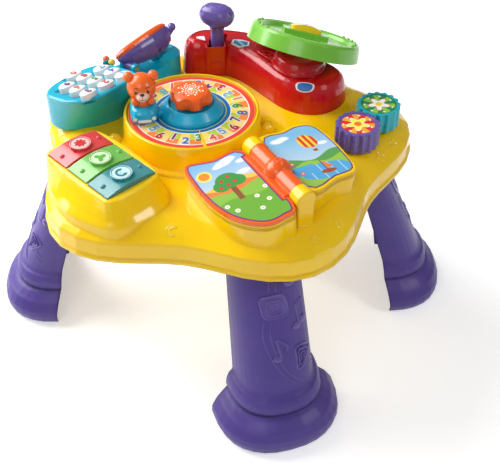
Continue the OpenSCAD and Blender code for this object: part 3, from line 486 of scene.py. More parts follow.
# %% Metal and inner pieces
def turned_steel(name, colour):
    paint = plastic(name, colour, None, (0.24, 0.4), 0.0, grain_size=2600.0, grain_depth=0.00003)
    paint.node_tree.nodes["Principled BSDF"].inputs["Metallic"].default_value = 1.0
    return paint


pin_steel = turned_steel("pin_steel", (196, 198, 202))
contact_nickel = turned_steel("contact_nickel", (206, 204, 196))
cell_black = plastic("cell_black", (38, 38, 44), (26, 26, 30), (0.3, 0.42))
board_green = plastic("board_green", (24, 96, 56), (16, 80, 46), (0.35, 0.5))
speaker_paper = plastic("speaker_paper", (34, 34, 38), (24, 24, 28), (0.6, 0.75), 0.0)
switch_grey = plastic("switch_grey", (44, 44, 50), (34, 34, 38), (0.4, 0.5))
print("inner finishes ready")

# %% [markdown]
# ## Clear tinted plastic
# The three keys light up, so they are clear tinted plastic with fine ribs inside and dots
# along their sides. Light enters a little and comes back tinted. The ribs are a bump that
# runs along the key, and the pale tint follows them.

# %% Key plastic
def clear_plastic(name, tint, pale):
    paint = bpy.data.materials.new(name)
    paint.use_nodes = True
    tree = paint.node_tree
    x, y, z = local_axes(tree, PIANO)
    ribs = (y * 3.0).sine().above(0.1, 0.5)
    rows = (z * 1.9).sine()
    dots = (((x * 1.9).sine() & rows) | ((y * 1.9).sine() & rows)).above(0.3, 0.15)
    facing_out = node(tree, "ShaderNodeNewGeometry").outputs["Normal"]
    upward = node(tree, "ShaderNodeSeparateXYZ", {"Vector": facing_out}).outputs["Z"]
    is_top = Field(tree, upward).above(0.8, 0.08)
    amount = (ribs * 0.4 + 0.06) * is_top + dots * 0.5 * ~is_top
    bump = node(tree, "ShaderNodeBump", {"Distance": 0.0002, "Strength": 0.4, "Height": amount})
    cloudy = node(tree, "ShaderNodeTexNoise", {"Scale": 0.3}).outputs["Fac"]
    feed(tree, tree.nodes["Principled BSDF"], {
        "Base Color": mix_colour(tree, amount, rgba(*tint), rgba(*pale)),
        "Roughness": Field(tree, cloudy) * 0.12 + 0.16, "Normal": bump.outputs["Normal"],
        "Coat Weight": 0.3, "Coat Roughness": 0.08, "Subsurface Weight": 0.3,
        "Subsurface Scale": 0.006})
    return paint


clear_red = clear_plastic("clear_red", (206, 16, 30), (238, 120, 118))
clear_green = clear_plastic("clear_green", (76, 170, 44), (178, 222, 140))
clear_teal = clear_plastic("clear_teal", (0, 122, 126), (104, 186, 196))
print("clear plastics ready")

# %% [markdown]
# ## Painting the solids
# Each solid keeps its mesh. Its material slots are pointed at the new finish.

# %% Put the finishes on
finish_of = {
    "deck_yellow": sun_yellow, "leg_purple": leg_violet, "gear_purple": knob_violet,
    "handset_purple": knob_violet, "handset_orange": page_orange, "phone_turquoise": phone_blue,
    "key_white": key_white, "carrier_turquoise": dial_blue, "car_turquoise": dial_blue,
    "bear_orange": bear_orange, "star_orange": star_orange, "console_red": console_scarlet,
    "wheel_green": wheel_leaf, "horn_yellow": horn_gold, "pin_steel": pin_steel,
    "leaf_orange": page_orange, "clear_red": clear_red, "clear_green": clear_green,
    "clear_teal": clear_teal, "roller_purple": roller_violet, "roller_teal": roller_lagoon,
    "bead_orange": bead_red, "bead_yellow": bead_gold, "cell_dark": cell_black,
    "contact_metal": contact_nickel, "board_green": board_green, "speaker_black": speaker_paper,
    "switch_dark": switch_grey, "dial_print": dial_card, "badge_print": badge_card,
    "page_print": key_white,
}
for part in frame["record"]["subparts"]:
    slots = solids[part["node"]].data.materials
    finish = finish_of[part["material_slot"]]
    if not slots:
        slots.append(finish)
    for i in range(len(slots)):
        slots[i] = finish

# %% [markdown]
# ## Making a new piece
# A new piece starts from a primitive with nothing else selected. It is changed in edit
# mode, moved to its frame, and then its place is put into the mesh. Its faces are turned
# outwards last, because a joined or extruded mesh can have some of them turned in.

# %% Selecting, editing and settling
def alone(obj):
    """Only this object is selected and active."""
    bpy.ops.object.select_all(action="DESELECT")
    obj.select_set(True)
    bpy.context.view_layer.objects.active = obj


def open_mesh(obj):
    """Into edit mode, with the whole mesh selected."""
    alone(obj)
    bpy.ops.object.mode_set(mode="EDIT")
    bpy.ops.mesh.select_all(action="SELECT")


def close_mesh():
    bpy.ops.object.mode_set(mode="OBJECT")


def settle(obj, finish=None):
    """The object's place goes into its mesh, its faces point outwards and it takes its finish."""
    alone(obj)
    bpy.ops.object.transform_apply(location=True, rotation=True, scale=True)
    open_mesh(obj)
    bpy.ops.mesh.remove_doubles(threshold=0.000005)
    bpy.ops.mesh.normals_make_consistent(inside=False)
    close_mesh()
    if finish is not None:
        obj.data.materials.clear()
        obj.data.materials.append(finish)
    bpy.ops.object.shade_smooth_by_angle(angle=math.radians(40))
    return obj


def as_one(name, pieces, body):
    """Joins pieces into one object that rides on a body."""
    alone(pieces[0])
    for piece in pieces:
        piece.select_set(True)
    if len(pieces) > 1:
        bpy.ops.object.join()
    whole = bpy.context.object
    whole.name = name
    whole.data.name = name
    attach(whole, body)
    return whole


print("making helpers ready")

# %% [markdown]
# ## Frames on a wall
# A sign has to stand square on its wall. A ray finds the wall and its normal, and the
# frame takes the normal as its z. The other two axes follow a direction that is given.

# %% Frames on a wall
def frame_of(point, side, up, normal):
    return Matrix.Translation(point) @ Matrix((side, up, normal)).transposed().to_4x4()


def facing(point, normal, towards):
    """A frame whose z is the normal and whose y follows the direction towards."""
    side = Vector(towards).cross(normal).normalized()
    return frame_of(point, side, normal.cross(side).normalized(), normal)


def meet(onto, start, down):
    """Where a ray meets a solid, with the wall's normal there."""
    found, point, normal, _ = solids[onto].ray_cast(start, down.normalized())
    if not found:
        raise RuntimeError("no wall on " + onto)
    return point, normal


def wall_frame(place, onto, x, y):
    """The frame on the wall that lies under a point of the drawing frame."""
    axes = place.to_3x3()
    point, normal = meet(onto, place @ (Vector((x, y, 0.0)) * MM), axes @ Vector((0, 0, -1)))
    return facing(point, normal, axes @ Vector((0, 1, 0)))


DOWNWARD = Vector((0, 0, -1))
print("wall frames ready")

# %% [markdown]
# ## Raised lines, plates and domes
# A small sign is cut as a groove in the steel mould. Here a line is drawn flat, laid on
# the solid along its own frame, and only then given a round section, half of it in the
# wall. A plate bends with the wall in the same way and gets its thickness last.

# %% Lines, plates and domes
def outline_mesh(points, fill):
    """A flat ring of corners, made from a primitive circle; a middle corner comes last."""
    bpy.ops.object.select_all(action="DESELECT")
    bpy.ops.mesh.primitive_circle_add(vertices=len(points), radius=0.01, fill_type=fill)
    flat = bpy.context.object
    corners = sorted(flat.data.vertices, key=lambda v: v.co.length < 0.001)
    middle = [sum(axis) / len(points) for axis in zip(*points)]
    for vertex, point in zip(corners, list(points) + [middle]):
        vertex.co = Vector((*point, 0.0)[:3]) * MM
    return flat


def lay_on(obj, onto, sink):
    """Drops the object on a solid along the object's own z."""
    wrap = obj.modifiers.new("lay", "SHRINKWRAP")
    wrap.target = solids[onto]
    wrap.wrap_method = "PROJECT"
    wrap.use_project_z = True
    wrap.use_negative_direction = True
    wrap.use_positive_direction = False
    wrap.offset = -sink * MM
    alone(obj)
    bpy.ops.object.modifier_apply(modifier="lay")


def thicken(obj, thick):
    slab = obj.modifiers.new("slab", "SOLIDIFY")
    slab.thickness = thick * MM
    slab.offset = 1.0
    alone(obj)
    bpy.ops.object.modifier_apply(modifier="slab")


def line_piece(points, place, finish, thick, closed=False, onto=None, sink=0.2):
    """A round line through points (millimetres in the frame place)."""
    line = outline_mesh(points, "NOTHING")
    if not closed:
        for edge in line.data.edges:
            edge.select = set(edge.vertices) == {0, len(points) - 1}
        for vertex in line.data.vertices:
            vertex.select = False
        bpy.ops.object.mode_set(mode="EDIT")
        bpy.ops.mesh.select_mode(type="EDGE")
        bpy.ops.mesh.delete(type="EDGE")
        close_mesh()
    line.matrix_world = place
    if onto:
        lay_on(line, onto, sink)
    alone(line)
    bpy.ops.object.convert(target="CURVE")
    line = bpy.context.object
    line.data.bevel_depth = thick * MM
    line.data.bevel_resolution = 2
    line.data.use_fill_caps = True
    bpy.ops.object.convert(target="MESH")
    return settle(bpy.context.object, finish)


def plate_piece(points, place, finish, thick, onto=None):
    """A thin plate with an outline; on a curved wall it bends with the wall."""
    plate = outline_mesh(points, "TRIFAN")
    plate.matrix_world = place
    if onto:
        open_mesh(plate)
        bpy.ops.mesh.subdivide(number_cuts=3)
        close_mesh()
        lay_on(plate, onto, 0.1)
    thicken(plate, thick)
    return settle(plate, finish)


def dome_piece(place, half, finish):
    """A flattened ball, half of it in the wall that it sits on."""
    bpy.ops.object.select_all(action="DESELECT")
    bpy.ops.mesh.primitive_uv_sphere_add(segments=24, ring_count=12, radius=1.0)
    ball = bpy.context.object
    open_mesh(ball)
    bpy.ops.transform.resize(value=tuple(h * MM for h in half))
    close_mesh()
    ball.matrix_world = place
    return settle(ball, finish)


print("piece helpers ready")

# %% [markdown]
# ## Outlines
# Outlines are a few points with a smooth curve through them, or circles whose radius
# changes. Long straight stretches get more points, so that they can bend with a wall.

# %% Outlines
def curve_through(points, steps=6, closed=False):
    """More points on a smooth line through a few (Catmull-Rom)."""
    count = len(points)
    out = []
    for i in range(count if closed else count - 1):
        a, b, c, d = (points[(i + k) % count] if closed else points[min(max(i + k, 0), count - 1)]
                      for k in (-1, 0, 1, 2))
        for j in range(steps):
            t = j / steps
            out.append(tuple(b[m] + 0.5 * t * ((c[m] - a[m]) + t * (
                (2 * a[m] - 5 * b[m] + 4 * c[m] - d[m]) + t * (3 * (b[m] - c[m]) + d[m] - a[m])))
                for m in (0, 1)))
    return out if closed else out + [tuple(points[-1])]


def even(points, step=2.0):
    """Points on straight stretches, at most step apart."""
    out = []
    for a, b in zip(points, points[1:]):
        parts = max(1, math.ceil(math.hypot(b[0] - a[0], b[1] - a[1]) / step))
        out += [(a[0] + (b[0] - a[0]) * k / parts, a[1] + (b[1] - a[1]) * k / parts)
                for k in range(parts)]
    return out + [tuple(points[-1])]


def arc(radius, angles, shift=0.0):
    return [(shift + radius * math.cos(math.radians(a)), radius * math.sin(math.radians(a)))
            for a in angles]


def ring_points(radius, count=32):
    return arc(radius, [360 * i / count for i in range(count)])


def petal_points(count, radius, depth, steps=8):
    out = []
    for i in range(steps * count):
        turn = 2 * math.pi * i / steps
        far = radius + depth * math.cos(turn)
        out.append((far * math.cos(turn / count), far * math.sin(turn / count)))
    return out


def crescent(size):
    return arc(size, range(50, 311, 20)) + arc(size * 0.72, range(290, 69, -20), size * 0.35)


def shrunk(points, share, middle):
    return [tuple(m + share * (p - m) for p, m in zip(point, middle)) for point in points]


print("outline helpers ready")

# %% [markdown]
# ## Signs on the legs
# Each leg shows the same group of signs: a soft square in a ring, two tied notes, one note,
# a soft triangle and a ribbon that winds down behind them. They are drawn as seen from a
# little beside the leg, so the drawing frame stands there and looks at the leg.

# %% Leg sign parts
SQUARE = curve_through([(-11, -9), (0, -10.5), (11, -8), (12.5, 2), (10.5, 11), (0, 12),
                        (-10, 10.5), (-12, 1)], 4, True)
TRIANGLE = curve_through([(-9, -10), (-7, 1), (-6, 10), (3, 9.5), (11, 3), (5, -4),
                          (-2, -10.5)], 4, True)
NOTE = 13
FRONT_LEG = -63.3
BESIDE = 20.0
look = math.radians(FRONT_LEG + BESIDE)
leg_at = math.radians(FRONT_LEG)
LEG_VIEW = spot(200 * math.cos(leg_at) + 60 * math.cos(look),
                200 * math.sin(leg_at) + 60 * math.sin(look), 0,
                (FRONT_LEG + BESIDE + 90.0, "Z"), (90, "X"))


def leg_line(points, thick, closed=False, sink=0.2):
    return line_piece(points, LEG_VIEW, lit_sign_violet, thick, closed, "leg_front", sink)


def leg_dome(x, y, half):
    return dome_piece(wall_frame(LEG_VIEW, "leg_front", x, y), half, lit_sign_violet)


def tied_notes(x, y):
    head = (NOTE * 0.42, NOTE * 0.32, 2.0)
    stem = x + NOTE * 0.3
    other = stem + NOTE * 0.78
    path = [(stem, y - NOTE), (stem, y), (stem, y + NOTE * 0.62), (other, y + NOTE * 0.75),
            (other, y), (other, y - NOTE * 0.85)]
    beam = [(stem, y + NOTE * 0.4), (other, y + NOTE * 0.53)]
    return [leg_dome(x, y - NOTE, head), leg_dome(other - NOTE * 0.3, y - NOTE * 0.85, head),
            leg_line(even(path), 1.4), leg_line(even(beam), 1.6)]


def one_note(x, y):
    stem = x + NOTE * 0.3
    flag = curve_through([(stem, y + NOTE * 0.6), (stem + NOTE * 0.4, y + NOTE * 0.25),
                          (stem + NOTE * 0.7, y - NOTE * 0.1),
                          (stem + NOTE * 0.5, y - NOTE * 0.45)], 5)
    return [leg_dome(x, y - NOTE, (NOTE * 0.42, NOTE * 0.32, 2.0)),
            leg_line(even([(stem, y - NOTE), (stem, y + NOTE * 0.6)]), 1.4), leg_line(flag, 1.7)]


def framed_sign(outline, middle, frames):
    """A raised plate with rounded frames (share of the outline, thickness, depth) on it."""
    moved = [(x + middle[0], y + middle[1]) for x, y in outline]
    return [plate_piece(moved, LEG_VIEW, lit_sign_violet, 1.0, "leg_front"),
            *(leg_line(shrunk(moved, share, middle), thick, True, sink)
              for share, thick, sink in frames)]


def ribbon(shift):
    upper = [(2 + shift, 196), (-1 + shift, 184), (-4 + shift, 174)]
    lower = [(-16 + shift, 146), (-20.5 + shift, 134), (-21.5 + shift, 122), (-20 + shift, 108),
             (-16 + shift, 94), (-8 + shift, 81), (1 + shift, 71)]
    short = [(22, 92 - shift), (25, 88 - shift), (29, 86 - shift)]
    return [leg_line(curve_through(path), 0.8, sink=0.15) for path in (upper, lower, short)]


print("leg sign parts ready")

# %% [markdown]
# ## One set of signs, four legs
# The four legs are one moulding. So the signs are modelled once on the front leg, and each
# other leg gets a copy with its own mesh, turned round the table's middle.

# %% Leg signs
signs = framed_sign(SQUARE, (-3, 158), ((1.0, 1.7, 0.2), (0.62, 1.1, -0.8), (0.36, 0.8, -0.7)))
signs += framed_sign(shrunk(TRIANGLE, 1.12, (-1, 0)), (14, 100),
                     ((1.0, 1.6, 0.2), (0.66, 1.0, -0.8), (0.3, 0.8, -0.7)))
signs += tied_notes(15, 146) + one_note(-14, 118) + [leg_dome(19, 180, (7.0, 6.5, 2.6))]
signs += ribbon(0.0) + ribbon(6.5)
front_signs = as_one("leg_front_signs", signs, "table")
for leg, azimuth in (("leg_right", 12.4), ("leg_left", 192.4), ("leg_back", 116.7)):
    copied = front_signs.copy()
    copied.data = front_signs.data.copy()
    bpy.context.collection.objects.link(copied)
    copied.matrix_world = Matrix.Rotation(math.radians(azimuth - FRONT_LEG), 4, "Z")
    alone(copied)
    bpy.ops.object.transform_apply(location=True, rotation=True, scale=True)
    as_one(leg + "_signs", [copied], "table")
print("sign faces on a leg:", len(front_signs.data.polygons))

# %% [markdown]
# ## Signs on the rim and the table top
# Small raised shapes follow the sloping rim, and two soft bumps stand beside the dial. Each
# shape is drawn flat, turned to the wall's normal and then laid on the wall.

# %% Rim signs
def rim_frame(azimuth):
    """A frame 6 mm over the middle of the sloping rim, with y towards the table's middle."""
    far = 205 + 18 * math.cos(math.radians(5 * (azimuth - 18))) - 16.0
    x, y = far * math.cos(math.radians(azimuth)), far * math.sin(math.radians(azimuth))
    point, normal = meet("deck_shell", Vector((x, y, 400)) * MM, DOWNWARD)
    return facing(point + normal * 0.006, normal, Vector((-x, -y, 0)).normalized())


rim_shapes = {
    "ring": ring_points(5.0, 24), "star": petal_points(5, 4.6, 1.6, 6), "moon": crescent(5.5),
    "drop": curve_through([(0, 6), (3.6, 0), (2.8, -4), (0, -5.4), (-2.8, -4), (-3.6, 0)], 4, True),
    "clover": petal_points(4, 4.2, 1.7, 8),
    "sail": curve_through([(-4, -4.5), (4.8, -4.5), (-2.6, 5.4)], 5, True)}
rim_places = [(-94.6, "moon"), (-51.5, "ring"), (-41.7, "drop"), (-4, "star"), (3.7, "clover"),
              (24, "sail"), (44, "drop"), (74, "star"), (104, "clover"), (132, "moon"),
              (160, "ring"), (190, "sail")]
rim_pieces = []
for azimuth, shape in rim_places:
    place, points = rim_frame(azimuth), rim_shapes[shape]
    rim_pieces.append(line_piece(points, place, rim_yellow, 0.9, True, "deck_shell", 0.1))
    rim_pieces.append(plate_piece(points, place, rim_yellow, 0.6, "deck_shell"))
rim_pieces.append(dome_piece(spot(53.5, 7, 243), (8.5, 8.5, 9), rim_yellow))
rim_pieces.append(dome_piece(spot(-108, -44, 243), (8, 8, 9), rim_yellow))
as_one("rim_signs", rim_pieces, "table")
print("rim signs:", len(rim_places))

# %% [markdown]
# ## Numbers round the dial
# The dial card teaches counting, so it carries plain numbers with a white edge. They stand
# on two rings in turn, with their tops towards the middle. A number is text turned into a
# mesh: the white edge is the same number grown outwards and lying a little lower.

# %% Dial numbers
def number_piece(text, size, place, finish, grow, thick):
    bpy.ops.object.select_all(action="DESELECT")
    bpy.ops.object.text_add()
    words = bpy.context.object
    words.data.body = text
    words.data.size = size * MM
    words.data.align_x = "CENTER"
    words.data.align_y = "CENTER"
    words.data.offset = grow * MM
    words.data.extrude = thick * MM / 2
    words.data.resolution_u = 4
    alone(words)
    bpy.ops.object.convert(target="MESH")
    words = bpy.context.object
    words.matrix_world = place @ Matrix.Translation((0, 0, thick * MM / 2))
    return settle(words, finish)


inks = [plastic("ink_" + name, colour, None, (0.3, 0.42), 0.1) for name, colour in (
    ("plum", (128, 40, 120)), ("blue", (40, 110, 190)), ("green", (60, 140, 60)),
    ("coral", (236, 92, 60)), ("sky", (110, 170, 220)), ("crimson", (196, 36, 46)),
    ("white", (248, 248, 246)), ("dark", (48, 28, 26)))]
# the dark ink also makes the painted shade in the handset's sound hole
# the white ink also makes the painted highlights on the bear's eyes
ink_white, ink_dark = inks[6:]
CARD_TOP = 272.0
numbers = []
for i in range(24):
    far = 56.2 if i % 2 else 51.4
    here = DIAL @ spot(0, 0, CARD_TOP - 0.02, (-99.0 + 15.0 * i, "Z")) @ spot(far, 0, 0, (90, "Z"))
    text = str(1 + i % 9)
    numbers.append(number_piece(text, 15.5, here, ink_white, 1.5, 0.18))
    numbers.append(number_piece(text, 15.5, here, inks[i % 6], 0.45, 0.3))
as_one("dial_numbers", numbers, "table")
pointer = plate_piece([(38.2, -0.4), (71.4, -1.9), (71.4, 1.9), (38.2, 0.4)],
                      DIAL @ spot(0, 0, CARD_TOP, (-65.5, "Z")), sun_yellow, 0.4)
as_one("dial_pointer", [pointer], "table")
print("numbers:", len(numbers) // 2)

# %% [markdown]
# ## Telephone keys
# Each key carries its own number, so the number moves with the key. They read from the
# outside of the table, where a child would stand to use the telephone.

# %% Key numbers
PAD_FALL = 11.7
KEY_TOP = 7.45
key_places = [(u, v) for v in (-28, -9, 10) for u in (-52.5, -28, -3.5)] + [(-29.5, 28)]
for k, (text, (u, v)) in enumerate(zip("3216549870", key_places)):
    pad = 284.1 - math.tan(math.radians(PAD_FALL)) * v
    on_key = PHONE @ spot(u, v, pad, (-PAD_FALL, "X"), (180, "Z")) @ spot(0, 0, KEY_TOP)
    number = number_piece(text, 11.5, on_key, inks[(k * 5) % 6], 0.45, 0.65)
    as_one("key_number_%d" % k, [number], "digit_%d" % k)
print("key numbers done")

# %% [markdown]
# ## The bear and its car
# The bear is one moulding, so its eyes, nose and mouth are small dark pieces set in the
# face. A small white dome on each eye is a painted highlight. The car gets its pale front
# plate and its two lamps. All of it turns with the dial.

# %% Face and lamps
HEAD, HEAD_R = (-2, 0, 35), 15.5
SNOUT, SNOUT_R = (10, 0, 31), 6.5


def on_ball(middle, radius, round_by, up_by, out=0.0):
    """A frame on a ball in the car's frame, with z outwards and y up."""
    a, e = math.radians(round_by), math.radians(up_by)
    normal = Vector((math.cos(e) * math.cos(a), math.cos(e) * math.sin(a), math.sin(e)))
    return CAR @ facing((Vector(middle) + normal * (radius + out)) * MM, normal, (0, 0, 1))


face = []
brow = curve_through([(-2.2, 0), (0, 0.9), (2.2, 0)], 5)
# each eye gets a small white dome beside its top: a painted highlight
for side in (-1, 1):
    face += [dome_piece(on_ball(HEAD, HEAD_R, 25 * side, 9), (1.7, 2.1, 0.7), ink_dark),
             dome_piece(on_ball(HEAD, HEAD_R, 25 * side + 2, 13, 0.45), (0.55, 0.6, 0.4), ink_white),
             line_piece(brow, on_ball(HEAD, HEAD_R, 24 * side, 22, 0.1), ink_dark, 0.25)]
face.append(dome_piece(on_ball(SNOUT, SNOUT_R, 0, 42), (2.5, 1.7, 1.2), ink_dark))
smile = curve_through([(-3.4, 1.2), (-1.8, -0.9), (0, 0.2), (1.8, -0.9), (3.4, 1.2)], 5)
for points, thick in ((smile, 0.35), (even([(0, 4.4), (0, 0.2)], 0.8), 0.28)):
    face.append(line_piece(points, on_ball(SNOUT, SNOUT_R, 0, -12, 8.0), ink_dark, thick,
                           onto="bear_figure", sink=0.05))
as_one("bear_face", face, "dial")
number_plate = curve_through([(-6.6, -1.4), (0, -1.8), (6.6, -1.4), (6.9, 0), (6.6, 1.4), (0, 1.7),
                              (-6.6, 1.4), (-6.9, 0)], 3, True)
lamps = [plate_piece(number_plate, CAR @ spot(20.2, 0, 6, (90, "Y"), (90, "Z")), ink_white, 0.3)]
for side in (-10, 10):
    lamps.append(plate_piece(ring_points(2.3, 24),
                             CAR @ spot(18.6, side, 8, (90, "Y"), (90, "Z")), ink_white, 0.5))
as_one("car_lamps", lamps, "dial")
print("face and lamps done")

# %% [markdown]
# ## Key medallions
# Every light-up key has a pale ring round a small raised shape. The shape fills the shallow
# recess in the round boss and moves with the key.

# %% Medallions
KEY_PITCH = 34.4
for k, body, slot_name, outline, light, full in (
        (1, "red_key", "clear_red", petal_points(8, 5.6, 1.1, 6), (246, 196, 192), (208, 52, 54)),
        (0, "green_key", "clear_green", petal_points(3, 4.6, 2.0, 12), (216, 242, 198),
         (104, 186, 76)),
        (-1, "teal_key", "clear_teal", crescent(6.2), (206, 236, 240), (36, 138, 148))):
    pale = plastic("pale_" + body, light, None, (0.15, 0.25), 0.4, under=0.1)
    strong = plastic("full_" + body, full, None, (0.15, 0.25), 0.4, under=0.1)
    top = PIANO @ spot(-4, k * KEY_PITCH, 0)
    pieces = [plate_piece(ring_points(9.5, 48), top @ spot(0, 0, 12.55), pale, 0.4),
              plate_piece(outline, top @ spot(0, 0, 12.9), strong, 0.4),
              line_piece(ring_points(10.6, 48), top @ spot(0, 0, 13.1), pale, 0.45, True)]
    as_one("medallion_" + body, pieces, body)
print("medallions done")

# %% [markdown]
# ## Ribs on the console
# A fan of curved ribs and a raised half round with three dots are part of the red
# moulding, so they share its colour.

# %% Console ribs
fan = console_spot(24, 140)
half_round = console_spot(36.5, 98.5) @ spot(0, 0, 0, (-37, "Z"))
ribs = [line_piece(arc(radius, range(-96, -8, 8)), fan, trim_scarlet, 1.3)
        for radius in (13, 17.5, 22, 26.5, 31)]
ribs.append(line_piece(arc(13, range(0, 181, 12)), half_round, trim_scarlet, 0.9, True))
for x, y in ((-5.5, 4), (0, 7.5), (5.5, 4)):
    ribs.append(dome_piece(half_round @ spot(x, y, 0), (1.8, 1.8, 1.0), trim_scarlet))
as_one("console_ribs", ribs, "table")
print("console ribs done")

# %% [markdown]
# ## The hood at the gear stick
# The stick's slot runs out through the console's front wall, so a hood closes it there. It
# is a U in plan, drawn up along the wall in steps. Over the last of them it leans outwards,
# which leaves room for the stick when it swings forward. A small door is raised on it.

# %% Gear hood
HOOD_LOW, LEAN_FROM, LEAN_OVER, LEAN = 243.6, 264.0, 20.3, 2.9
gear_wall = frame_of(Vector((-25, 106.9, 0)) * MM, (0.945, 0.327, 0), (0, 0, 1),
                     (0.327, -0.945, 0))
hood_plan = [(-12, -6), (-12, 1.0), (-11.2, 2.1), (-9.8, 2.5), (9.8, 2.5), (11.2, 2.1), (12, 1.0),
             (12, -6), (10.3, -6), (10.3, 1.2), (-10.3, 1.2), (-10.3, -6)]
hood = outline_mesh([(along, HOOD_LOW, out) for along, out in hood_plan], "NGON")
open_mesh(hood)
for rise in (20.4, 4, 4, 4, 4, 2.5, 1.8):
    bpy.ops.mesh.extrude_region_move(
        TRANSFORM_OT_translate={"value": (0, rise * MM, 0), "orient_type": "GLOBAL"})
close_mesh()
for vertex in hood.data.vertices:
    if vertex.co.z > 0:
        vertex.co.z += LEAN * MM * max(0.0, (vertex.co.y / MM - LEAN_FROM) / LEAN_OVER)
hood.matrix_world = gear_wall
door = curve_through([(-6.4, 246), (-6.6, 254), (-6.0, 262), (6.0, 262), (6.6, 254), (6.4, 246)], 5)
as_one("console_door",
       [settle(hood, trim_scarlet),
        line_piece(door, gear_wall @ spot(0, 0, 2.5), trim_scarlet, 0.7, True)],
       "table")
print("gear hood done")

# %% [markdown]
# ## Signs on the console
# A white arrow lies beside the gear stick, and an oval sign with a blue field is laid on
# the slope in front of the wheel.

# %% Console signs
arrow = curve_through([(-6.0, -0.5), (-4, -2.4), (4.6, -4.4), (5.4, -3.0), (2.6, 4.2), (1.2, 4.6),
                       (-5.6, 1.2)], 4, True)
shield = curve_through([(-10, 3.5), (-9, -3.5), (0, -6.0), (9, -3.5), (10, 3.5), (0, 5.5)], 4, True)
point, normal = meet("console_shell", Vector((89.5, 50, 400)) * MM, DOWNWARD)
along = Vector((1, 0, 0))
slope = frame_of(point, along, normal.cross(along).normalized(), normal) @ spot(0, 0, 8)
signs = [plate_piece(arrow, console_spot(-44.5, 118.5), ink_white, 0.5),
         plate_piece(shield, slope, ink_white, 0.4, "console_shell"),
         plate_piece(shrunk(shield, 0.8, (0, 0)), slope, inks[1], 0.6, "console_shell")]
as_one("console_signs", signs, "table")
print("console signs done")

# %% [markdown]
# ## Pictures in the book
# The picture on a page is drawn in the shader, in millimetres on the page. Hills are waves
# with everything below them filled, and the rest is ovals and strips laid over each other.

# %% Drawing helpers
def page_axes(tree, place):
    """Right and up for someone who reads the page."""
    x, y, _ = local_axes(tree, place)
    return y, -x


def hill(right, up, height, size, count, shift):
    return ((right * count + shift).sine() * size + height - up).above(0.0, 0.3)


def clouds(right, up, places):
    return [(oval(right, up, (x, y), wide, wide * 0.5, 0.25), (246, 248, 252))
            for x, y, wide in places]


def dots(right, up, places, size, ink):
    return [(oval(right, up, place, size, size, 0.1), ink) for place in places]


print("drawing helpers ready")

# %% [markdown]
# ## Three pictures
# The turning leaf has a garden with an apple tree in front and an evening on its back. The
# fixed page has a balloon over a lake with a boat.

# %% Page inks
def garden_ink(tree):
    right, up = page_axes(tree, LEFT_PAGE)
    flowers = ((-68, -18), (-62, -28), (-36, -20), (-28, -30), (-22, -12), (-40, -38))
    return [
        (up.above(14, 40), (120, 180, 226)),
        (oval(right, up, (-66, 34), 8, 8), (252, 224, 90)),
        (oval(right, up, (-66, 34), 5.6, 5.6), (246, 140, 40)),
        *clouds(right, up, ((-40, 42, 9), (-33, 45, 8), (-47, 40, 6), (-22, 36, 6), (-28, 20, 7))),
        (hill(right, up, 16, 3.5, 0.11, 0.5), (246, 196, 90)),
        (hill(right, up, 9, 3.0, 0.16, 2.0), (236, 128, 60)),
        (hill(right, up, 0, 2.5, 0.12, 4.2), (140, 190, 70)),
        (hill(right, up, -14, 3.0, 0.10, 1.2), (110, 172, 56)),
        (right.between(-52, -46, 0.4) & up.between(-16, 8), (140, 84, 46)),
        *((oval(right, up, (x, y), size, size * 0.9), (64, 150, 66))
          for x, y, size in ((-49, 16, 13), (-58, 11, 9), (-40, 12, 9))),
        *dots(right, up, ((-55, 18), (-46, 22), (-43, 12), (-51, 10), (-60, 9)), 2.0,
              (222, 44, 44)),
        *dots(right, up, flowers, 2.6, (250, 250, 250)),
        *dots(right, up, flowers, 1.2, (250, 200, 40))]


def lake_ink(tree):
    right, up = page_axes(tree, RIGHT_PAGE)
    balloon = oval(right, up, (60, 38), 11, 12)
    glints = ((right - 44) * 0.5 + 1.0).sine().above(0.93)
    river = up.between(-13, 1) & (up * 0.55 + 42 - right).above(0.0)
    sail = (up.between(-11, 3) & (right - 53.2).above(0.0)
            & (up * -0.6 + 54.8 - right).above(0.0))
    flowers = ((26, -36), (36, -42), (60, -40), (72, -34), (24, -10), (22, 8))
    return [
        (up.above(10, 40), (130, 190, 230)),
        *clouds(right, up, ((30, 50, 8), (38, 52, 7), (74, 30, 6))),
        (balloon, (226, 60, 50)), (balloon & (right * 0.9).sine().above(0.1), (252, 216, 70)),
        (right.between(57.4, 62.6) & up.between(19, 23), (150, 90, 50)),
        (hill(right, up, 12, 5.0, 0.10, 0.0), (90, 160, 80)),
        (hill(right, up, 4, 3.0, 0.14, 2.4), (150, 196, 70)),
        (oval(right, up, (50, -14), 30, 13, 0.03), (84, 168, 220)),
        (oval(right, up, (50, -14), 30, 13) & glints, (180, 218, 240)),
        (river, (84, 168, 220)), (oval(right, up, (52, -16), 9, 3.4), (168, 80, 40)),
        (right.between(51.4, 52.6) & up.between(-15, 3), (120, 70, 40)),
        (sail, (250, 120, 40)), (hill(right, up, -34, 2.5, 0.13, 1.0), (110, 176, 60)),
        *dots(right, up, flowers, 2.6, (240, 90, 120)),
        *dots(right, up, flowers, 1.1, (255, 240, 120))]


def evening_ink(tree):
    right, up = page_axes(tree, LEAF_BACK)
    stars = ((26, -30), (40, -34), (58, -36), (34, 40), (60, 38))
    return [
        (up.above(6, 40), (250, 190, 150)),
        (oval(right, up, (46, 22), 13, 13), (252, 226, 120)),
        (hill(right, up, 20, 5.0, 0.09, 1.0), (150, 120, 190)),
        (hill(right, up, 8, 3.5, 0.13, 2.6), (96, 170, 150)),
        (hill(right, up, -8, 3.0, 0.10, 0.4), (120, 190, 90)),
        *((oval(right, up, (x, y), size, size * 0.8), (60, 140, 80))
          for x, y, size in ((30, -14, 7), (52, -20, 9), (66, -10, 6))),
        *dots(right, up, stars, 1.8, (255, 250, 220))]


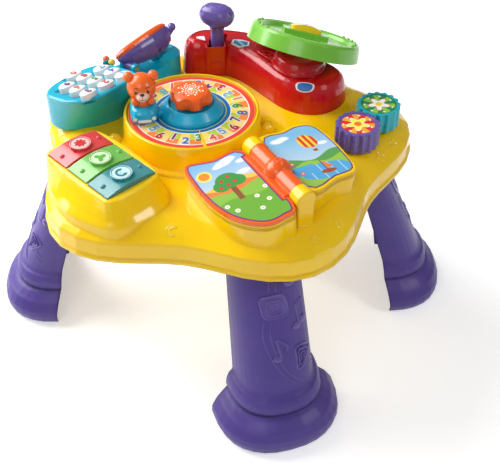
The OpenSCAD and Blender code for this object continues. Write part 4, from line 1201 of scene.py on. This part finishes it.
DAY = (232, 240, 246)
garden_page = plastic("garden_page", DAY, gloss=(0.26, 0.36), prints=garden_ink)
lake_page = plastic("lake_page", DAY, gloss=(0.26, 0.36), prints=lake_ink)
evening_page = plastic("evening_page", (236, 214, 224), gloss=(0.26, 0.36), prints=evening_ink)
page_edge = plastic("page_edge", (120, 50, 130), gloss=(0.28, 0.38))
print("pictures ready")

# %% [markdown]
# ## The page sheets
# A page is a printed sheet with a purple edge. The sheet is lifted from the solid page: the
# faces on that side are copied, made one face and set in from the edge, and the rim of
# that face becomes the purple line.

# %% Page sheets
def page_sheet(name, node_name, place, height, margin, picture, body):
    sheet = solids[node_name].copy()
    sheet.data = solids[node_name].data.copy()
    bpy.context.collection.objects.link(sheet)
    sheet.data.materials.clear()
    sheet.data.materials.append(page_edge)
    sheet.data.materials.append(picture)
    open_mesh(sheet)
    bpy.ops.mesh.select_mode(type="FACE")
    bpy.ops.mesh.select_all(action="SELECT")
    bpy.ops.mesh.remove_doubles(threshold=0.00002)
    close_mesh()
    back = place.inverted()
    for face in sheet.data.polygons:
        level = (back.to_3x3() @ face.normal).z > 0.995
        face.select = not (level and abs((back @ face.center).z / MM - height) < 0.05)
    bpy.ops.object.mode_set(mode="EDIT")
    bpy.ops.mesh.delete(type="FACE")
    bpy.ops.mesh.select_all(action="SELECT")
    bpy.ops.mesh.dissolve_limited(angle_limit=math.radians(1))
    bpy.ops.mesh.select_all(action="SELECT")
    if margin:
        bpy.ops.mesh.inset(thickness=margin * MM, depth=0.0)
        bpy.ops.mesh.select_all(action="INVERT")
        bpy.ops.mesh.delete(type="FACE")
        bpy.ops.mesh.select_all(action="SELECT")
    bpy.ops.mesh.inset(thickness=1.5 * MM, depth=0.0)
    bpy.context.object.active_material_index = 1
    bpy.ops.object.material_slot_assign()
    close_mesh()
    thicken(sheet, 0.25)
    as_one(name, [settle(sheet)], body)
    print(name, "faces:", len(sheet.data.polygons))


page_sheet("left_page_print", "book_leaf", LEFT_PAGE, 2.0, 2.6, garden_page, "leaf")
page_sheet("right_page_print", "page_panel", RIGHT_PAGE, -2.4, 0.0, lake_page, "table")
page_sheet("back_page_print", "book_leaf", LEAF_BACK, 2.0, 2.6, evening_page, "leaf")

# %% [markdown]
# ## Book flower and handset hole
# The round boss in the middle of the book's barrel carries a small raised flower, laid on
# the solid so that it follows the curve. The handset has one sound hole in its side: a
# flat dark dome in a violet ring, whose dark is painted shade. The flower turns with the
# leaf, and the hole lifts with the handset.

# %% Flower and sound hole
petals = [line_piece(points, BOOK @ spot(0, 0, 30), page_orange, thick, True, "book_leaf")
          for points, thick in ((petal_points(5, 5.4, 1.6, 8), 0.7), (ring_points(2.0, 16), 0.6))]
as_one("boss_flower", petals, "leaf")
outward = Vector((0.87, -0.47, -0.16)).normalized()
start = Vector((-85.3, 78.7, 287.9)) * MM + outward * 0.02
on_side = facing(*meet("handset_body", start, -outward), (0, 0, 1))
# painted shade: a flat dark dome stands where the sound hole's shade is
painted_shade_hole = [dome_piece(on_side, (2.3, 2.6, 0.3), ink_dark),
        line_piece(ring_points(2.7, 24), on_side, knob_violet, 0.45, True)]
as_one("handset_hole_painted_shade", painted_shade_hole, "handset")
print("flower and hole done")
